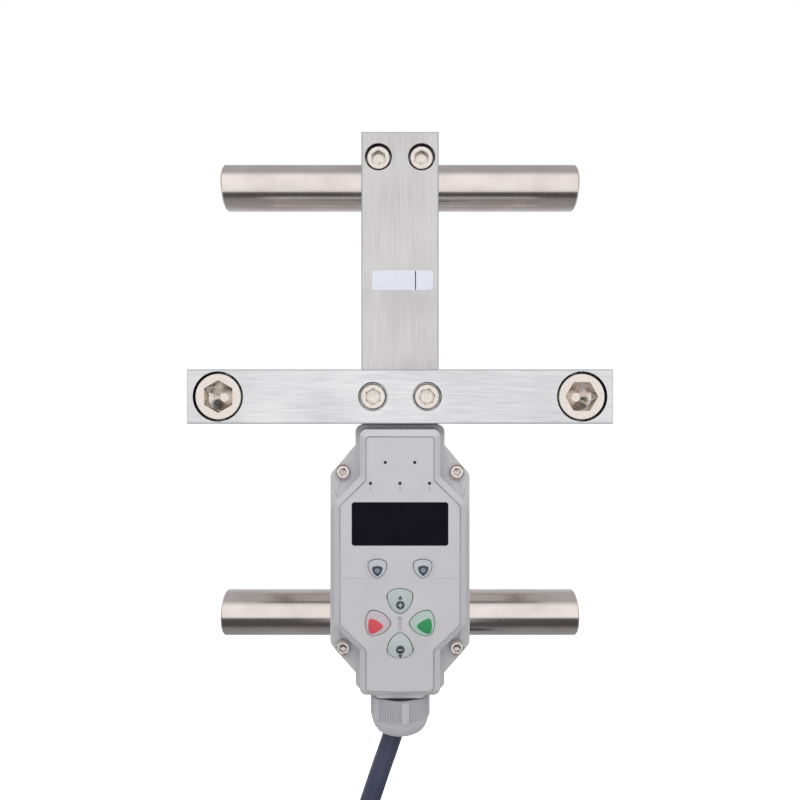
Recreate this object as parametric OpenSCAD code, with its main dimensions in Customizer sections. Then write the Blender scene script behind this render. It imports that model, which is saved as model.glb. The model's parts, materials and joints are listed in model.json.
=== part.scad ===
// Elevator load cell that bends a pack of hoist ropes round three bars, with its display unit.
// Millimetres. The front faces -Y, +Z is up along the ropes, and +X is to the right.
// The origin is midway between the clamp bolts, where the ropes touch the round bars' rear.

/* [Load beam] */
// Width of the load beam
beam_w = 43; // [38:1:50]
// Height of the load beam
beam_h = 296; // [290:1:310]
// Depth of the load beam, front to back
beam_d = 40; // [36:1:50]
// Depth of the round seat that each bar lies in
saddle_deep = 5; // [3:0.5:7]
// Bevel along the beam's edges
beam_bevel = 0.6; // [0.3:0.1:1]

/* [Round bars] */
// Diameter of the two fixed round bars
bar_d = 28; // [25:1:32]
// Length of the two fixed round bars
bar_l = 220; // [200:1:260]
// Distance from each bar's axis to the beam's end
bar_end = 14; // [14:1:17]
// Bevel on the ends of every round bar
bar_bevel = 1; // [0.5:0.25:2]
// Distance between the two screws of one bar
bar_screw_pitch = 24; // [22:1:26]

/* [Crossbar] */
// Length of the crossbar
cross_l = 220; // [215:1:250]
// Height of the crossbar
cross_h = 28; // [28:1:28.5]
// Thickness of the crossbar, front to back
cross_t = 25; // [24:1:30]
// Bevel along the crossbar's edges
cross_bevel = 0.5; // [0.3:0.1:1]
// Distance between the two screws that hold the crossbar
cross_screw_pitch = 28; // [26:1:30]

/* [Rope clamp] */
// Distance from each clamp bolt's axis to the crossbar's end
bolt_end = 16; // [15:1:20]
// Thread diameter of the clamp bolts
bolt_d = 16; // [14:1:16]
// Length of the clamp bolts under the head
bolt_l = 120; // [118:1:130]
// Head diameter of the clamp bolts
bolt_head_d = 24; // [22:0.5:24.5]
// Head height of the clamp bolts
bolt_head_h = 16; // [14:1:16]
// Width across the flats of the clamp bolts' sockets
bolt_hex = 14; // [12:1:14]
// Diameter of the recess round each clamp bolt's head
bolt_seat_d = 26; // [25.5:0.5:27]
// Diameter of the rear clamp bar
rear_d = 28; // [25:1:32]
// How far the rear clamp bar runs past each bolt's axis
rear_end = 16; // [14:1:36]
// Open rope space between the fixed bars' rear and the rear clamp bar
rope_gap = 20; // [18:1:22]

/* [Cap screws] */
// Thread diameter of the small cap screws
cap_d = 8; // [6:1:8]
// Head diameter of the small cap screws
cap_head_d = 13; // [12:0.5:14]
// Head height of the small cap screws
cap_head_h = 8; // [7:0.5:8]
// Width across the flats of the small cap screws' sockets
cap_hex = 6; // [5:1:6]
// Diameter of the recess round each small cap screw's head
cap_seat_d = 15.2; // [14.8:0.2:16]
// How far the small heads lie below the face
cap_sunk = 1.1; // [0.5:0.1:1.5]
// Length of the screws that hold the round bars
bar_screw_l = 45; // [42:1:46]
// Length of the screws that hold the crossbar
cross_screw_l = 35; // [30:1:36]

/* [Beam label] */
// Width of the blank label on the beam
label_w = 34; // [30:1:38]
// Height of the blank label
label_h = 11; // [9:0.5:13]
// Thickness of the blank label
label_t = 0.2; // [0.1:0.05:0.4]
// Corner radius of the label
label_r = 1.6; // [1:0.2:2.4]
// Height of the label's middle above the crossbar's axis
label_z = 65.3; // [40:0.1:90]
// Sideways place of the label's middle
label_x = 1.5; // [0:0.5:2]

/* [Housing] */
// Half width of the housing's flange
flange_half = 37; // [36:0.5:38]
// Half width of the flange at its narrow ends
flange_neck = 23.6; // [22.6:0.2:24]
// Half width of the housing's raised front
raised_half = 34.5; // [34:0.1:35]
// Half width of the raised front at its narrow ends
raised_neck = 21.2; // [20.8:0.1:21.6]
// Height of the middle of the housing's wide part
housing_z = -85.8; // [-88:0.1:-85.6]
// Gap between the crossbar and the housing's top
housing_gap = 0.5; // [0.3:0.1:1]
// Height of the housing's bottom edge
housing_bottom = -155; // [-156:0.1:-154.6]
// Half height of the flange's full width
flange_straight = 45; // [44:0.5:46]
// Half height over the flange's slanted shoulders
flange_shoulder = 60.4; // [60:0.2:61]
// Half height of the raised front's full width
raised_straight = 31.8; // [31:0.2:33]
// Half height over the raised front's slanted shoulders
raised_shoulder = 44.8; // [44:0.2:46]
// Distance from the beam's front to the flange's front
flange_deep = 16; // [15.5:0.1:17]
// Height of the raised front above the flange
raised_deep = 14; // [13.5:0.5:15]
// Width of the bevel round the raised front
front_bevel = 3.6; // [3:0.1:4]
// Depth of the bevel round the raised front
front_bevel_deep = 3.6; // [3:0.1:4]
// Depth of the sunken front panel
panel_deep = 0.5; // [0.3:0.1:0.7]
// Wall thickness of the housing
wall = 2.6; // [2.4:0.1:2.8]
// Thickness of the wall behind the front panel
front_wall = 2.2; // [2:0.1:2.4]
// Height of solid wall above the housing's bottom edge, where the gland screws in
gland_wall = 9; // [8:0.5:10]
// Corner radius of the housing
housing_r = 4; // [3:0.25:4.5]
// Sideways distance of the housing screws from the middle
ear_x = 30; // [29:0.2:30.4]
// Height of the housing screws from the middle of the wide part
ear_z = 46.4; // [46:0.2:47]
// Thread diameter of the housing screws
ear_screw_d = 4; // [3:0.5:4]
// Head diameter of the housing screws
ear_head_d = 7.6; // [7:0.2:8]
// Length of the housing screws
ear_screw_l = 18; // [17:0.5:19]

/* [Back plate] */
// Thickness of the back plate
plate_t = 2.5; // [2:0.1:2.6]
// Height of the insert bosses behind the back plate
boss_h = 4; // [4:0.5:6]
// Thickness of the housing gasket
gasket_t = 0.8; // [0.6:0.1:1]

/* [Display and lights] */
// Width of the display window
window_w = 49; // [46:0.5:49.5]
// Height of the display window
window_h = 22; // [20:0.5:23]
// Thickness of the display window
window_t = 1.4; // [1.2:0.1:1.5]
// Height of the window's middle
window_z = -65; // [-66:0.1:-64.5]
// Corner radius of the window
window_r = 1.4; // [1:0.1:2]
// Diameter of the small indicator lights
light_d = 1.6; // [1.4:0.1:2]
// Half distance between the two upper lights
upper_light_x = 7.5; // [7:0.1:8]
// Height of the upper lights
upper_light_z = -33.7; // [-34:0.1:-33]
// Distance from the middle to the outer lower lights
lower_light_x = 15; // [14:0.1:15.5]
// Height of the lower lights
lower_light_z = -44.3; // [-45:0.1:-44]

/* [Keys] */
// Width of the small keys
small_key_w = 9.2; // [8.8:0.1:9.4]
// Corner radius of the small keys
small_key_r = 1.9; // [1.6:0.1:2.2]
// Sideways distance of the small keys
small_key_x = 11.5; // [11.3:0.1:12]
// Height of the small keys' middle
small_key_z = -87.2; // [-87.6:0.1:-87]
// Height of the keypad's middle
pad_z = -115.4; // [-115.8:0.1:-115.2]
// Diameter of the domed pad
pad_d = 37; // [36.6:0.2:38]
// Height of the domed pad's crown
pad_rise = 1; // [0.6:0.1:1.1]
// Distance of the four large keys from the pad's middle
big_key_out = 11.8; // [11.6:0.1:12]
// Width of the large keys
big_key_w = 12.6; // [12:0.1:12.8]
// Corner radius of the large keys
big_key_r = 2.6; // [2.2:0.1:3]
// How far a key stands out of the front panel
key_proud = 1.1; // [0.9:0.1:1.4]
// Gap round each key
key_gap = 0.35; // [0.3:0.05:0.45]
// How far a key can be pressed
key_travel = 1; // [0.8:0.1:1]
// Length of the slot between the large keys
slot_l = 6; // [5:0.5:7]
// Width of the slot between the large keys
slot_w = 1.4; // [1:0.1:1.8]

/* [Electronics] */
// Thickness of the circuit board
board_t = 1.6; // [1.2:0.1:2]
// Height of the posts that carry the board
post_h = 6.3; // [6:0.1:7]
// Diameter of the posts
post_d = 5; // [4.5:0.1:5.2]
// Sideways distance of the posts
post_x = 27.8; // [27.4:0.1:28]
// Height of the upper posts
upper_post_z = -58.5; // [-59:0.1:-58]
// Height of the lower posts
lower_post_z = -113; // [-114:0.5:-110]
// Width of the terminal block
terminal_w = 22; // [18:1:24]
// Height of the terminal block
terminal_h = 11; // [9:0.5:12]
// Depth of the terminal block
terminal_deep = 8.4; // [8:0.1:9]
// Width of the strain gauge pocket
pocket_w = 24; // [20:1:26]
// Height of the strain gauge pocket
pocket_h = 32; // [28:1:34]
// Depth of the strain gauge pocket
pocket_deep = 12; // [8:1:14]
// Height of the pocket's middle
pocket_z = -40; // [-42:0.5:-38]

/* [Cable gland] */
// Thread diameter of the gland
gland_d = 20; // [18:1:20]
// Distance of the gland's axis from the beam's front
gland_out = 14; // [13.8:0.1:14.4]
// Outer radius of the gland nut over its smooth strips
nut_r = 16.1; // [15.6:0.1:16.4]
// Height of the gland nut's ribbed part
nut_rib_h = 11; // [10:0.5:12]
// Height of the gland nut's dome
nut_dome_h = 8.3; // [8:0.1:9]
// Number of ribs between two smooth strips
ribs = 13; // [9:1:15]

/* [Cable] */
// Outer diameter of the cable
cable_d = 10.5; // [10.5:0.1:10.6]
// Number of turns in the coil
turns = 5; // [4:1:5]
// Radius of the coil at the middle of its turns
coil_r = 57.5; // [57.5:0.5:58]
// Length of the free end below the coil's side
tail_l = 50; // [40:1:60]
// Length of the bare cores at the free end
core_l = 26; // [20:1:32]

/* [Hidden] */
// The names of the sub-parts
$fn = 48;

// Clearances
fit = 0.05;
running_gap = 0.75;
seat_gap = 0.1;
past = 1;

// Levels from the ropes towards the front
bar_y = -bar_d / 2;
beam_back = saddle_deep - bar_d;
beam_front = beam_back - beam_d;
cross_front = beam_front - cross_t;
bolt_sunk = 0.5;
bolt_seat_y = cross_front + bolt_sunk + bolt_head_h;
rear_y = rope_gap + rear_d / 2;
plate_front = beam_front - plate_t;
ledge_y = plate_front - gasket_t;
flange_front = beam_front - flange_deep;
raised_front = flange_front - raised_deep;
panel_y = raised_front + panel_deep;
inner_front = panel_y + front_wall;
board_front = inner_front + post_h;
board_back = board_front + board_t;
gland_y = beam_front - gland_out;
bar_pitch = beam_h - 2 * bar_end;
bolt_pitch = cross_l - 2 * bolt_end;
rear_l = bolt_pitch + 2 * rear_end;

// Cap screws
bar_screw_y = beam_front + cap_sunk + cap_head_h;
cross_screw_y = cross_front + cap_sunk + cap_head_h;
cap_hex_deep = 4.5;
cap_dimple_d = 2.2;
bolt_hex_deep = 8;
bolt_cone_deep = 11.5;
bolt_dimple_d = 4.7;
head_edge = 0.8;

// Outlines of the housing: half width, half height of the straight sides, half height over
// the shoulders, half width of the neck, top and bottom
housing_top = -cross_h / 2 - housing_gap;
raised_in_top = 2.1;
raised_in_bottom = 1.2;
flange_sizes = [flange_half, flange_straight, flange_shoulder, flange_neck,
    housing_top, housing_bottom];
raised_sizes = [raised_half, raised_straight, raised_shoulder, raised_neck,
    housing_top - raised_in_top, housing_bottom + raised_in_bottom];
hidden_share = 0.75;
draft = 0.5;
panel_in = front_bevel + 0.5;
board_gap = 0.8;

// Housing screws and their inserts
ear_head_h = 2.9;
ear_hex = 3;
ear_dimple_d = 1.2;
ear_hex_deep = 1.6;
insert_d = 5.8;
boss_d = 8.4;
gasket_in = 0.8;

// Keys
key_front = panel_y - key_proud;
key_crown_r = 30;
key_flange = 0.8;
key_flange_t = 1;
key_flange_y = inner_front + seat_gap;
key_stem_d = 4;
key_stem_l = 2;
key_stem_end = key_flange_y + key_flange_t + key_stem_l;
switch_top = key_stem_end + key_travel + seat_gap;
switch_w = 6;
switch_body = 1.4;
switch_plunger_d = 3;
mat_t = 0.8;
mat_front = key_flange_y + key_flange_t + key_travel + seat_gap;
mat_half = 24;
mat_top = -81;
mat_bottom = -134;
mat_rim = 1.5;
mat_hole = key_stem_d + 1;
key_list = [
    [-small_key_x, small_key_z, 0, small_key_w, small_key_r],
    [small_key_x, small_key_z, 0, small_key_w, small_key_r],
    [0, pad_z + big_key_out, 0, big_key_w, big_key_r],
    [0, pad_z - big_key_out, 180, big_key_w, big_key_r],
    [-big_key_out, pad_z, 90, big_key_w, big_key_r],
    [big_key_out, pad_z, -90, big_key_w, big_key_r]
];
light_list = [
    [-upper_light_x, upper_light_z], [upper_light_x, upper_light_z],
    [-lower_light_x, lower_light_z], [0, lower_light_z], [lower_light_x, lower_light_z]
];
window_step = 2;
window_gap = 0.1;

// Inner fastenings
board_screw_d = 2.5;
board_screw_head_d = 4.6;
board_screw_l = 5;
plate_screw_d = 4;
plate_screw_head_d = 7.6;
plate_screw_l = 11;
plate_screw_z = [-72, -104];
lead_d = 3.2;
gauge_t = 0.2;

// Cable gland, from the housing's bottom downwards
washer_t = 1;
collar_r = 13.2;
collar_h = 3.4;
spigot_r = 11.8;
gland_top = housing_bottom + gland_wall + 0.5;
nut_top = housing_bottom - washer_t - 0.2;
dome_top = nut_top - nut_rib_h;
nut_end = dome_top - nut_dome_h;
spigot_end = dome_top - 0.5;
seal_end = spigot_end;
seal_l = 8;
seal_r = 8.2;
mouth_r = 9.4;
dome_end_r = 11;
rib_deep = 0.55;
strip_turn = 10;
strip_share = 0.24;

// Route of the cable's straight stretch, sideways and upwards
lead_route = [
    [0, -149], [0, -155], [0, -160], [-0.4, -165], [-1.2, -170], [-2.4, -175],
    [-4, -180], [-6, -186], [-9.2, -195], [-13.6, -208], [-18, -221], [-22.4, -234],
    [-26.6, -248], [-30.4, -262], [-33.6, -277], [-36, -292], [-37.4, -307], [-38, -322]
];
coil_start = lead_route[len(lead_route) - 1];
coil_x = coil_start[0] + coil_r;
coil_z = coil_start[1];
tail_y = gland_y + turns * cable_d;
tail_end = coil_z - tail_l;
tie_w = 6;
tie_t = 1.2;
tie_gap = 0.3;
core_d = 1.8;
core_out = 2;
core_count = 5;

// Points of the outlines

// Unit vector along v
function unit(v) = v / norm(v);

// Outward normal of the side from a to b of an outline that runs anticlockwise
function side_normal(a, b) = let (u = unit(b - a)) [u[1], -u[0]];

// The outline's normals before and after its corner i
function normals(p, i) = let (n = len(p))
    [side_normal(p[(i + n - 1) % n], p[i]), side_normal(p[i], p[(i + 1) % n])];

// The corner i moved inwards by d from both of its sides
function corner_in(p, i, d) = let (m = normals(p, i)) p[i] - d * (m[0] + m[1]) / (1 + m[0] * m[1]);

// The whole outline moved inwards by d
function inset(p, d) = [for (i = [0:len(p) - 1]) corner_in(p, i, d)];

// The wide part of a housing outline, with its shoulders run on inside the neck
function wide_points(s) =
    let (
        slope = (s[2] - s[1]) / (s[0] - s[3]),
        x = hidden_share * s[3],
        z = s[2] + (s[3] - x) * slope,
        m = housing_z
    )
    [
        [-x, m - z], [x, m - z], [s[0], m - s[1]], [s[0], m + s[1]],
        [x, m + z], [-x, m + z], [-s[0], m + s[1]], [-s[0], m - s[1]]
    ];

// The neck of a housing outline, from top to bottom
function neck_points(s) = [[-s[3], s[5]], [s[3], s[5]], [s[3], s[4]], [-s[3], s[4]]];

// Flat shapes

// An outline with its corners rounded by true arcs
module rounded(p, r) {
    last = len(p) - 1;
    polygon([for (i = [0:last]) each [for (m = normals(p, i)) corner_in(p, i, r) + r * m]]);
    for (i = [0:last]) {
        translate(corner_in(p, i, r)) circle(r);
    }
}

// A housing outline moved inwards by d, with corner radius r
module housing_outline(s, d, r) {
    rounded(inset(wide_points(s), d), r);
    rounded(inset(neck_points(s), d), r);
}

// Everything above the solid wall that the gland screws into
module above_gland_wall() {
    translate([-flange_half, housing_bottom + gland_wall])
        square([2 * flange_half, housing_top - housing_bottom]);
}

// A triangle of equal width all round, with bulged sides, pointing down
module bulged_triangle(w, r) {
    reach = (w - 2 * r) / sqrt(3);
    flat = reach + r * cos(30);
    intersection_for (a = [-90, 30, 150]) {
        intersection() {
            translate(reach * [cos(a), sin(a)]) circle(w - r);
            rotate(90) circle(2 * flat, $fn = 3);
        }
    }
    for (a = [-90, 30, 150]) {
        translate(reach * [cos(a), sin(a)]) circle(r);
    }
}

// Solids placed along the depth

// A flat shape in X and Z made thick, from the level back towards the front
module slab(back, t) {
    translate([0, back, 0]) rotate([90, 0, 0]) linear_extrude(t) children();
}

// A round bar or hole along Y, from the level back towards the front
module along_y(x, z, d, back, l) {
    translate([x, back, z]) rotate([90, 0, 0]) cylinder(d = d, h = l);
}

// A round bar along X with bevelled ends
module cross_rod(d, l, y, z) {
    b = bar_bevel;
    translate([0, y, z]) rotate([0, 90, 0]) rotate_extrude() polygon([
        [0, -l / 2], [d / 2 - b, -l / 2], [d / 2, b - l / 2],
        [d / 2, l / 2 - b], [d / 2 - b, l / 2], [0, l / 2]
    ]);
}

// A block with bevelled edges along its front and back
module bevelled_block(w, h, back, t, b) {
    difference() {
        translate([-w / 2, back - t, -h / 2]) cube([w, t, h]);
        for (sx = [-1, 1], sy = [0, 1]) {
            translate([sx * w / 2, back - sy * t, 0]) rotate([0, 0, 45])
                cube([sqrt(2) * b, sqrt(2) * b, h + past], center = true);
        }
        for (sz = [-1, 1], sy = [0, 1]) {
            translate([0, back - sy * t, sz * h / 2]) rotate([45, 0, 0])
                cube([w + past, sqrt(2) * b, sqrt(2) * b], center = true);
        }
    }
}

// A cap screw whose head stands on Z = 0 and whose shank points down
module cap_screw(d, l, head_d, head_h, hex, hex_deep, dimple_d, cone_deep, turn) {
    hex_r = hex / sqrt(3);
    difference() {
        union() {
            rotate_extrude() polygon([
                [0, 0], [head_d / 2, 0], [head_d / 2, head_h - head_edge],
                [head_d / 2 - head_edge, head_h], [0, head_h]
            ]);
            translate([0, 0, -l]) cylinder(d = d, h = l);
        }
        translate([0, 0, head_h - hex_deep]) rotate(turn) cylinder(r = hex_r, h = hex_deep + past, $fn = 6);
        translate([0, 0, head_h - cone_deep])
            cylinder(d1 = dimple_d, d2 = hex, h = cone_deep - hex_deep + fit);
        translate([0, 0, head_h - hex_r + hex / 2])
            cylinder(r1 = hex / 2, r2 = hex_r + past, h = hex_r - hex / 2 + past);
    }
}

// A small cap screw with its head's underside at the level y
module small_cap_screw(x, y, z, l, turn) {
    translate([x, y, z]) rotate([90, 0, 0])
        cap_screw(cap_d, l, cap_head_d, cap_head_h, cap_hex, cap_hex_deep, cap_dimple_d,
            cap_hex_deep + 1, turn);
}

// The stepped hole for a small cap screw, whose head's underside is at the level y
module small_cap_hole(x, z, front, y, back) {
    along_y(x, z, cap_seat_d, y, y - front + past);
    along_y(x, z, cap_d + 1, back + past, back - front + 2 * past);
}

// Load beam and bars

module load_beam() {
    color("#c8c8ca") difference() {
        bevelled_block(beam_w, beam_h, beam_back, beam_d, beam_bevel);
        for (sz = [-1, 1]) {
            translate([0, bar_y, sz * bar_pitch / 2]) rotate([0, 90, 0])
                cylinder(d = bar_d + 2 * fit, h = beam_w + 2 * past, center = true);
            for (sx = [-1, 1]) {
                small_cap_hole(sx * bar_screw_pitch / 2, sz * bar_pitch / 2,
                    beam_front, bar_screw_y, beam_back);
            }
        }
        for (sx = [-1, 1]) {
            along_y(sx * cross_screw_pitch / 2, 0, cap_d + 2 * fit, cross_screw_y + cross_screw_l + past,
                cross_screw_l);
        }
        translate([-pocket_w / 2, beam_front - past, pocket_z - pocket_h / 2])
            cube([pocket_w, pocket_deep + past, pocket_h]);
        for (z = plate_screw_z) {
            along_y(0, z, plate_screw_d + 2 * fit, beam_front + plate_screw_l, plate_screw_l + past);
        }
    }
}

// A fixed round bar with two blind threaded holes in its front
module fixed_bar(z) {
    tip = bar_screw_y + bar_screw_l;
    color("#a9a5a3") difference() {
        cross_rod(bar_d, bar_l, bar_y, z);
        for (sx = [-1, 1]) {
            along_y(sx * bar_screw_pitch / 2, z, cap_d + 2 * fit, tip + past, bar_screw_l);
        }
    }
}

module bar_screws(z) {
    color("#b9b4ab") for (sx = [-1, 1]) {
        small_cap_screw(sx * bar_screw_pitch / 2, bar_screw_y, z, bar_screw_l, 30);
    }
}

module upper_round_bar() {
    fixed_bar(bar_pitch / 2);
}

module lower_round_bar() {
    fixed_bar(-bar_pitch / 2);
}

module upper_bar_screws() {
    bar_screws(bar_pitch / 2);
}

module lower_bar_screws() {
    bar_screws(-bar_pitch / 2);
}

module crossbar() {
    color("#d5d6d9") difference() {
        bevelled_block(cross_l, cross_h, beam_front, cross_t, cross_bevel);
        for (sx = [-1, 1]) {
            small_cap_hole(sx * cross_screw_pitch / 2, 0, cross_front, cross_screw_y, beam_front);
            along_y(sx * bolt_pitch / 2, 0, bolt_seat_d, bolt_seat_y + seat_gap,
                bolt_seat_y + seat_gap - cross_front + past);
            along_y(sx * bolt_pitch / 2, 0, bolt_d + 2 * running_gap, beam_front + past, cross_t);
        }
    }
}

module crossbar_screws() {
    color("#b9b4ab") for (s = [[-1, 30], [1, 12]]) {
        small_cap_screw(s[0] * cross_screw_pitch / 2, cross_screw_y, 0, cross_screw_l, s[1]);
    }
}

// Rope clamp

module clamp_bolt(x, turn) {
    color("#b3aea4") translate([x, bolt_seat_y, 0]) rotate([90, 0, 0])
        cap_screw(bolt_d, bolt_l, bolt_head_d, bolt_head_h, bolt_hex, bolt_hex_deep, bolt_dimple_d,
            bolt_cone_deep, turn);
}

module left_clamp_bolt() {
    clamp_bolt(-bolt_pitch / 2, 30);
}

module right_clamp_bolt() {
    clamp_bolt(bolt_pitch / 2, 0);
}

module rear_clamp_bar() {
    color("#a9a5a3") difference() {
        cross_rod(rear_d, rear_l, rear_y, 0);
        for (sx = [-1, 1]) {
            along_y(sx * bolt_pitch / 2, 0, bolt_d + 2 * fit, rear_y + rear_d / 2 + past, rear_d + 2 * past);
        }
    }
}

// Label and strain gauges on the beam

module beam_label() {
    half = [label_w, label_h] / 2;
    color("#dcdde8") slab(beam_front, label_t) translate([label_x, label_z])
        rounded([-half, [half[0], -half[1]], half, [-half[0], half[1]]], label_r);
}

module strain_gauges() {
    floor_y = beam_front + pocket_deep;
    color("#b98a3c") {
        for (sx = [-1, 1], sz = [-1, 1]) {
            slab(floor_y, gauge_t) translate([sx * pocket_w / 4, pocket_z + sz * pocket_h / 4])
                square([6, 10], center = true);
        }
        slab(floor_y, 2 * gauge_t) translate([0, pocket_z]) square([8, 4], center = true);
    }
}

module gauge_lead() {
    start = beam_front + pocket_deep - 2 * gauge_t;
    color("#e8e6e0") along_y(0, pocket_z, lead_d, start, start - board_back);
}

// Back plate and housing

module back_plate() {
    color("#b7b8bb") difference() {
        union() {
            slab(beam_front, plate_t) housing_outline(flange_sizes, 0, housing_r);
            for (sx = [-1, 1], sz = [-1, 1]) {
                along_y(sx * ear_x, housing_z + sz * ear_z, boss_d, beam_front + boss_h, boss_h + plate_t);
            }
        }
        for (sx = [-1, 1], sz = [-1, 1]) {
            along_y(sx * ear_x, housing_z + sz * ear_z, insert_d + 2 * fit, beam_front + boss_h + past,
                boss_h + plate_t + 2 * past);
        }
        for (z = plate_screw_z) {
            along_y(0, z, plate_screw_d + 0.4, beam_front + past, plate_t + 2 * past);
            translate([0, plate_front, z]) rotate([-90, 0, 0])
                cylinder(d1 = plate_screw_head_d + 0.2, d2 = plate_screw_d, h = 1.9);
        }
        along_y(0, pocket_z, lead_d + 1.4, beam_front + past, plate_t + 2 * past);
    }
}

module plate_screws() {
    color("#b9b4ab") for (z = plate_screw_z) {
        difference() {
            union() {
                along_y(0, z, plate_screw_d, plate_front + plate_screw_l, plate_screw_l);
                translate([0, plate_front, z]) rotate([-90, 0, 0])
                    cylinder(d1 = plate_screw_head_d, d2 = plate_screw_d, h = 1.8);
            }
            translate([0, plate_front - past, z]) rotate([-90, 0, 0])
                cylinder(d = 2.8, h = 1.2 + past, $fn = 6);
        }
    }
}

module threaded_inserts() {
    l = boss_h + plate_t;
    color("#b08d45") for (sx = [-1, 1], sz = [-1, 1]) {
        difference() {
            along_y(sx * ear_x, housing_z + sz * ear_z, insert_d, beam_front + boss_h, l);
            along_y(sx * ear_x, housing_z + sz * ear_z, ear_screw_d + 2 * fit, beam_front + boss_h + past,
                l + 2 * past);
        }
    }
}

module housing_gasket() {
    color("#2b2b2d") slab(plate_front, gasket_t) difference() {
        housing_outline(flange_sizes, gasket_in, housing_r - gasket_in);
        cavity_outline(0);
        for (sx = [-1, 1], sz = [-1, 1]) {
            translate([sx * ear_x, housing_z + sz * ear_z]) circle(d = ear_screw_d + 1);
        }
    }
}

// The hollow of the housing moved inwards by d
module cavity_outline(d) {
    intersection() {
        housing_outline(raised_sizes, wall + d, housing_r - wall);
        translate([0, d]) above_gland_wall();
    }
}

// One convex part of the raised front, with a slight draft and a bevelled edge
module raised_block(p) {
    levels = [
        [flange_front + past, 0, housing_r],
        [raised_front + front_bevel_deep, draft, housing_r - draft],
        [raised_front + fit, front_bevel, housing_r - 2]
    ];
    hull() {
        for (v = levels) {
            slab(v[0], fit) rounded(inset(p, v[1]), v[2], $fn = 32);
        }
    }
}

module front_housing() {
    color("#c1c2c5") difference() {
        union() {
            slab(ledge_y, ledge_y - flange_front) housing_outline(flange_sizes, 0, housing_r);
            raised_block(wide_points(raised_sizes));
            raised_block(neck_points(raised_sizes));
            key_dome();
            intersection() {
                translate([0, gland_y, housing_bottom]) cylinder(r = nut_r + 0.4, h = gland_wall);
                slab(ledge_y, ledge_y - raised_front - front_bevel_deep)
                    square(-2 * housing_bottom, center = true);
            }
            for (sx = [-1, 1], z = [upper_post_z, lower_post_z]) {
                along_y(sx * post_x, z, post_d, board_front, post_h + past);
            }
        }
        housing_hollow();
        front_cuts();
        for (sx = [-1, 1], sz = [-1, 1]) {
            along_y(sx * ear_x, housing_z + sz * ear_z,
                ear_screw_d + 0.4, beam_front, flange_deep + 2 * past);
        }
        translate([0, gland_y, housing_bottom - past]) cylinder(d = gland_d + 2 * fit, h = gland_wall + 4);
    }
}

// The hollow behind the front wall, round the board's posts
module housing_hollow() {
    difference() {
        slab(ledge_y + past, ledge_y + past - inner_front) cavity_outline(0);
        for (sx = [-1, 1], z = [upper_post_z, lower_post_z]) {
            along_y(sx * post_x, z, post_d, board_front, post_h + past);
        }
    }
    for (sx = [-1, 1], z = [upper_post_z, lower_post_z]) {
        along_y(sx * post_x, z, board_screw_d + 2 * fit, board_front + past, board_screw_l + past);
    }
}

// Everything cut through or into the front panel
module front_cuts() {
    difference() {
        slab(panel_y, panel_deep + past) housing_outline(raised_sizes, panel_in, 1.2);
        key_dome();
    }
    slab(panel_y + window_t, window_t + past) window_outline(window_gap);
    slab(inner_front + past, front_wall + past) window_outline(-window_step);
    for (p = light_list) {
        along_y(p[0], p[1], light_d + 2 * fit, inner_front + past, front_wall + 2 * past);
    }
    for (k = key_list) {
        slab(inner_front + past, front_wall + pad_rise + 3 * past) key_outline(k, key_gap);
    }
    slab(panel_y, pad_rise + past) slot_outline();
}

// The low dome round the large keys: a cap of a ball that stands on the panel
module key_dome() {
    dome_r = (pow(pad_d / 2, 2) + pow(pad_rise, 2)) / (2 * pad_rise);
    intersection() {
        translate([0, panel_y - pad_rise + dome_r, pad_z]) sphere(dome_r, $fn = 96);
        along_y(0, pad_z, pad_d + 1, panel_y + 1, pad_rise + 1 + past);
    }
}

// The slot between the large keys
module slot_outline() {
    for (s = [-1, 1]) {
        translate([0, pad_z + s * (slot_l - slot_w) / 2]) circle(d = slot_w);
    }
    translate([-slot_w / 2, pad_z - (slot_l - slot_w) / 2]) square([slot_w, slot_l - slot_w]);
}

// The window's outline made larger by d
module window_outline(d) {
    x = window_w / 2 + d;
    z = window_h / 2 + d;
    translate([0, window_z]) rounded([[-x, -z], [x, -z], [x, z], [-x, z]], window_r);
}

module housing_screws() {
    color("#c4c0b8") for (sx = [-1, 1], sz = [-1, 1]) {
        translate([sx * ear_x, flange_front, housing_z + sz * ear_z]) rotate([90, 0, 0])
            cap_screw(ear_screw_d, ear_screw_l, ear_head_d, ear_head_h, ear_hex, ear_hex_deep,
                ear_dimple_d, ear_hex_deep + 0.6, 20 * sx * sz);
    }
}

// Display, board and lights

module display_window() {
    color("#16141f") slab(panel_y + window_t - fit, window_t - fit) window_outline(0);
}

module display_module() {
    h = window_h - 2;
    front = inner_front + 0.2;
    color("#26262b") slab(board_front, board_front - front) translate([0, window_z])
        square([window_w - 2 * window_step - 1, h], center = true);
}

module circuit_board() {
    color("#1f5a3a") difference() {
        slab(board_back, board_t) cavity_outline(board_gap);
        for (sx = [-1, 1], z = [upper_post_z, lower_post_z]) {
            along_y(sx * post_x, z, board_screw_d + 0.4, board_back + past, board_t + 2 * past);
        }
    }
}

module board_screws() {
    color("#b9b4ab") for (sx = [-1, 1], z = [upper_post_z, lower_post_z]) {
        along_y(sx * post_x, z, board_screw_d, board_back, board_screw_l + board_t - 1);
        along_y(sx * post_x, z, board_screw_head_d, board_back + 2, 2);
    }
}

module status_lights() {
    color("#101014") for (p = light_list) {
        along_y(p[0], p[1], light_d, board_front, board_front - panel_y);
    }
}

// Keys

// A key's outline made larger by d
module key_outline(k, d) {
    translate([k[0], k[1]]) rotate(k[2]) bulged_triangle(k[3] + 2 * d, k[4] + d);
}

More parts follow.
